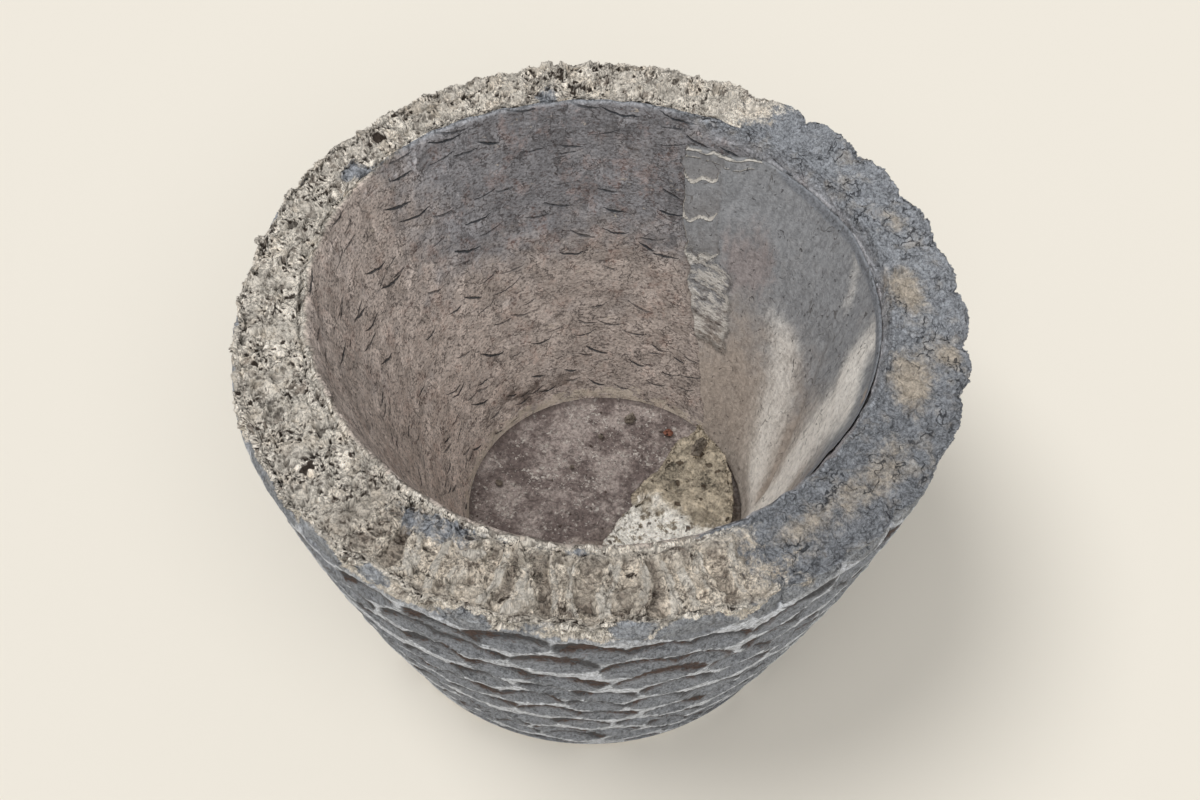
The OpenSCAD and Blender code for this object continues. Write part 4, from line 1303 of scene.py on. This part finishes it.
class PLANTER_OT_soil_bed(bpy.types.Operator):
    """Makes the packed soil of the bed, with its crumbs"""

    bl_idname = "planter.soil_bed"
    bl_label = "Soil bed"

    def execute(self, context):
        sizes = context.scene.planter_sizes
        colours = context.scene.planter_colours
        columns, top_rows, low_rows = 240, 61, 8
        azimuth = (360 * np.arange(columns) / columns)[None, :]
        t = hollow_share(sizes, sizes.bed)
        middle = np.array([sizes.floor_shift * (1 - t), sizes.mouth_shift * t, 0.0])
        top_share = np.concatenate([[1.0], 1 - np.linspace(0.01, 1, top_rows - 1)])[:, None]
        low_share = np.linspace(0, 1, low_rows)[:, None]

        def disc(share, z):
            edge = hollow_point(sizes, azimuth, z, CLEARANCE)
            flat = middle + (edge - middle) * share[..., None]
            flat[..., 2] = z
            return flat

        crumb_room, thickness = 0.0008, 0.012
        points = np.concatenate([disc(top_share, sizes.bed - crumb_room),
                                 disc(low_share, sizes.bed - thickness)])
        rough, brim = np.zeros((2, *points.shape[:2]))
        rough[1:top_rows] = smooth(1 - top_share[1:], 0, 0.03)
        # Where the soil meets the wall, which gets painted shade
        brim[:top_rows] = smooth(top_share, 0.90, 1.0)
        mesh = grid_mesh("soil_bed", points, closed_rows=True)
        for key, values in {"rest": points, "outward": np.broadcast_to((0.0, 0.0, 1.0), points.shape),
                            "rough": rough, "pitted": 0.3 * rough, "brim": brim}.items():
            add_numbers(mesh, key, values)
        material = soil_material(colours)
        piece = wear(new_piece("soil", mesh), material, 21.0, Lump=(0.030, 0.0026), Facet=(0.02, 0.03),
                     Grain=(0.0060, 0.0012), Pit=(0.012, 0.002))
        modifier = piece.modifiers.new("Crumbs", "NODES")
        modifier.node_group = crumb_tree(material)
        plain_mesh(piece, "soil_bed")
        close_seams(piece)
        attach(piece, "planter")
        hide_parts("soil_bed")
        return {"FINISHED"}


class PLANTER_OT_loose_stones(bpy.types.Operator):
    """Makes the pale stone, the dark wedge and the chips, of which one is brick red"""

    bl_idname = "planter.loose_stones"
    bl_label = "Loose stones"

    def execute(self, context):
        colours = context.scene.planter_colours
        dark_stone = tuple(colours.dark_stone)
        red_chip = ((0.0765, 0.0918, 0.084), tuple(colours.brick))
        stones = (
            ("pale_block", "pale_stone", 0.0016, "loose_stone", pale_material(colours), 12.0,
             dict(Lump=(0.040, 0.0060), Facet=(0.026, 0.12), Grain=(0.0080, 0.0022), Pit=(0.0110, 0.0040))),
            ("dark_wedge", "stone_fragment", 0.0008, "loose_stone",
             pitted_material("dark_stone", dark_stone, shade(34, 30, 27), shade(138, 128, 116), 0.25), 13.0,
             dict(Lump=(0.010, 0.0012), Facet=(0.009, 0.20), Grain=(0.0030, 0.0008), Pit=(0.006, 0.001))),
            ("chips", "loose_chips", 0.0008, "planter",
             pitted_material("loose_chips", dark_stone, shade(40, 34, 30), shade(150, 140, 128), 0.2,
                             other=red_chip), 14.0,
             dict(Lump=(0.008, 0.0010), Facet=(0.007, 0.16), Grain=(0.0030, 0.0006), Pit=(0.006, 0.001))),
        )
        for name, node, voxel, body, material, seed, amounts in stones:
            piece = wear(copy_node(node, name, voxel), material, seed, **amounts)
            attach(piece, body)
            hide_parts(node)
        return {"FINISHED"}


class PLANTER_OT_drainage(bpy.types.Operator):
    """Finishes the broken pot and the gravel under the soil"""

    bl_idname = "planter.drainage"
    bl_label = "Drainage"

    def execute(self, context):
        colours = context.scene.planter_colours
        for node, colour, dark, pale in (
                ("drain_crock", tuple(colours.clay), shade(110, 62, 44), shade(178, 120, 92)),
                ("drainage_gravel", shade(132, 127, 119), shade(92, 88, 82), shade(168, 163, 154))):
            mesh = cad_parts[node].data
            mesh.materials.clear()
            mesh.materials.append(pitted_material(node, colour, dark, pale, 0.12, place_of_its_own=True))
        return {"FINISHED"}


class PLANTER_PT_panel(bpy.types.Panel):
    """Lists the planter's pieces"""

    bl_idname = "PLANTER_PT_panel"
    bl_label = "Stone planter"
    bl_space_type = "VIEW_3D"
    bl_region_type = "UI"
    bl_category = "Planter"

    def draw(self, context):
        for operator in OPERATORS:
            self.layout.operator(operator.bl_idname)


OPERATORS = (PLANTER_OT_stage, PLANTER_OT_stone_body, PLANTER_OT_lime_lining, PLANTER_OT_soil_bed,
             PLANTER_OT_loose_stones, PLANTER_OT_drainage)
CLASSES = (PlanterSizes, PlanterColours, PlanterLight, *OPERATORS, PLANTER_PT_panel)


def register():
    for made in CLASSES:
        bpy.utils.register_class(made)
    bpy.types.Scene.planter_sizes = PointerProperty(type=PlanterSizes)
    bpy.types.Scene.planter_colours = PointerProperty(type=PlanterColours)
    bpy.types.Scene.planter_light = PointerProperty(type=PlanterLight)


def unregister():
    del bpy.types.Scene.planter_light
    del bpy.types.Scene.planter_colours
    del bpy.types.Scene.planter_sizes
    for made in reversed(CLASSES):
        bpy.utils.unregister_class(made)


def main():
    register()
    bpy.ops.planter.stage()
    bpy.ops.planter.stone_body()
    bpy.ops.planter.lime_lining()
    bpy.ops.planter.soil_bed()
    bpy.ops.planter.loose_stones()
    bpy.ops.planter.drainage()


if __name__ == "__main__":
    main()
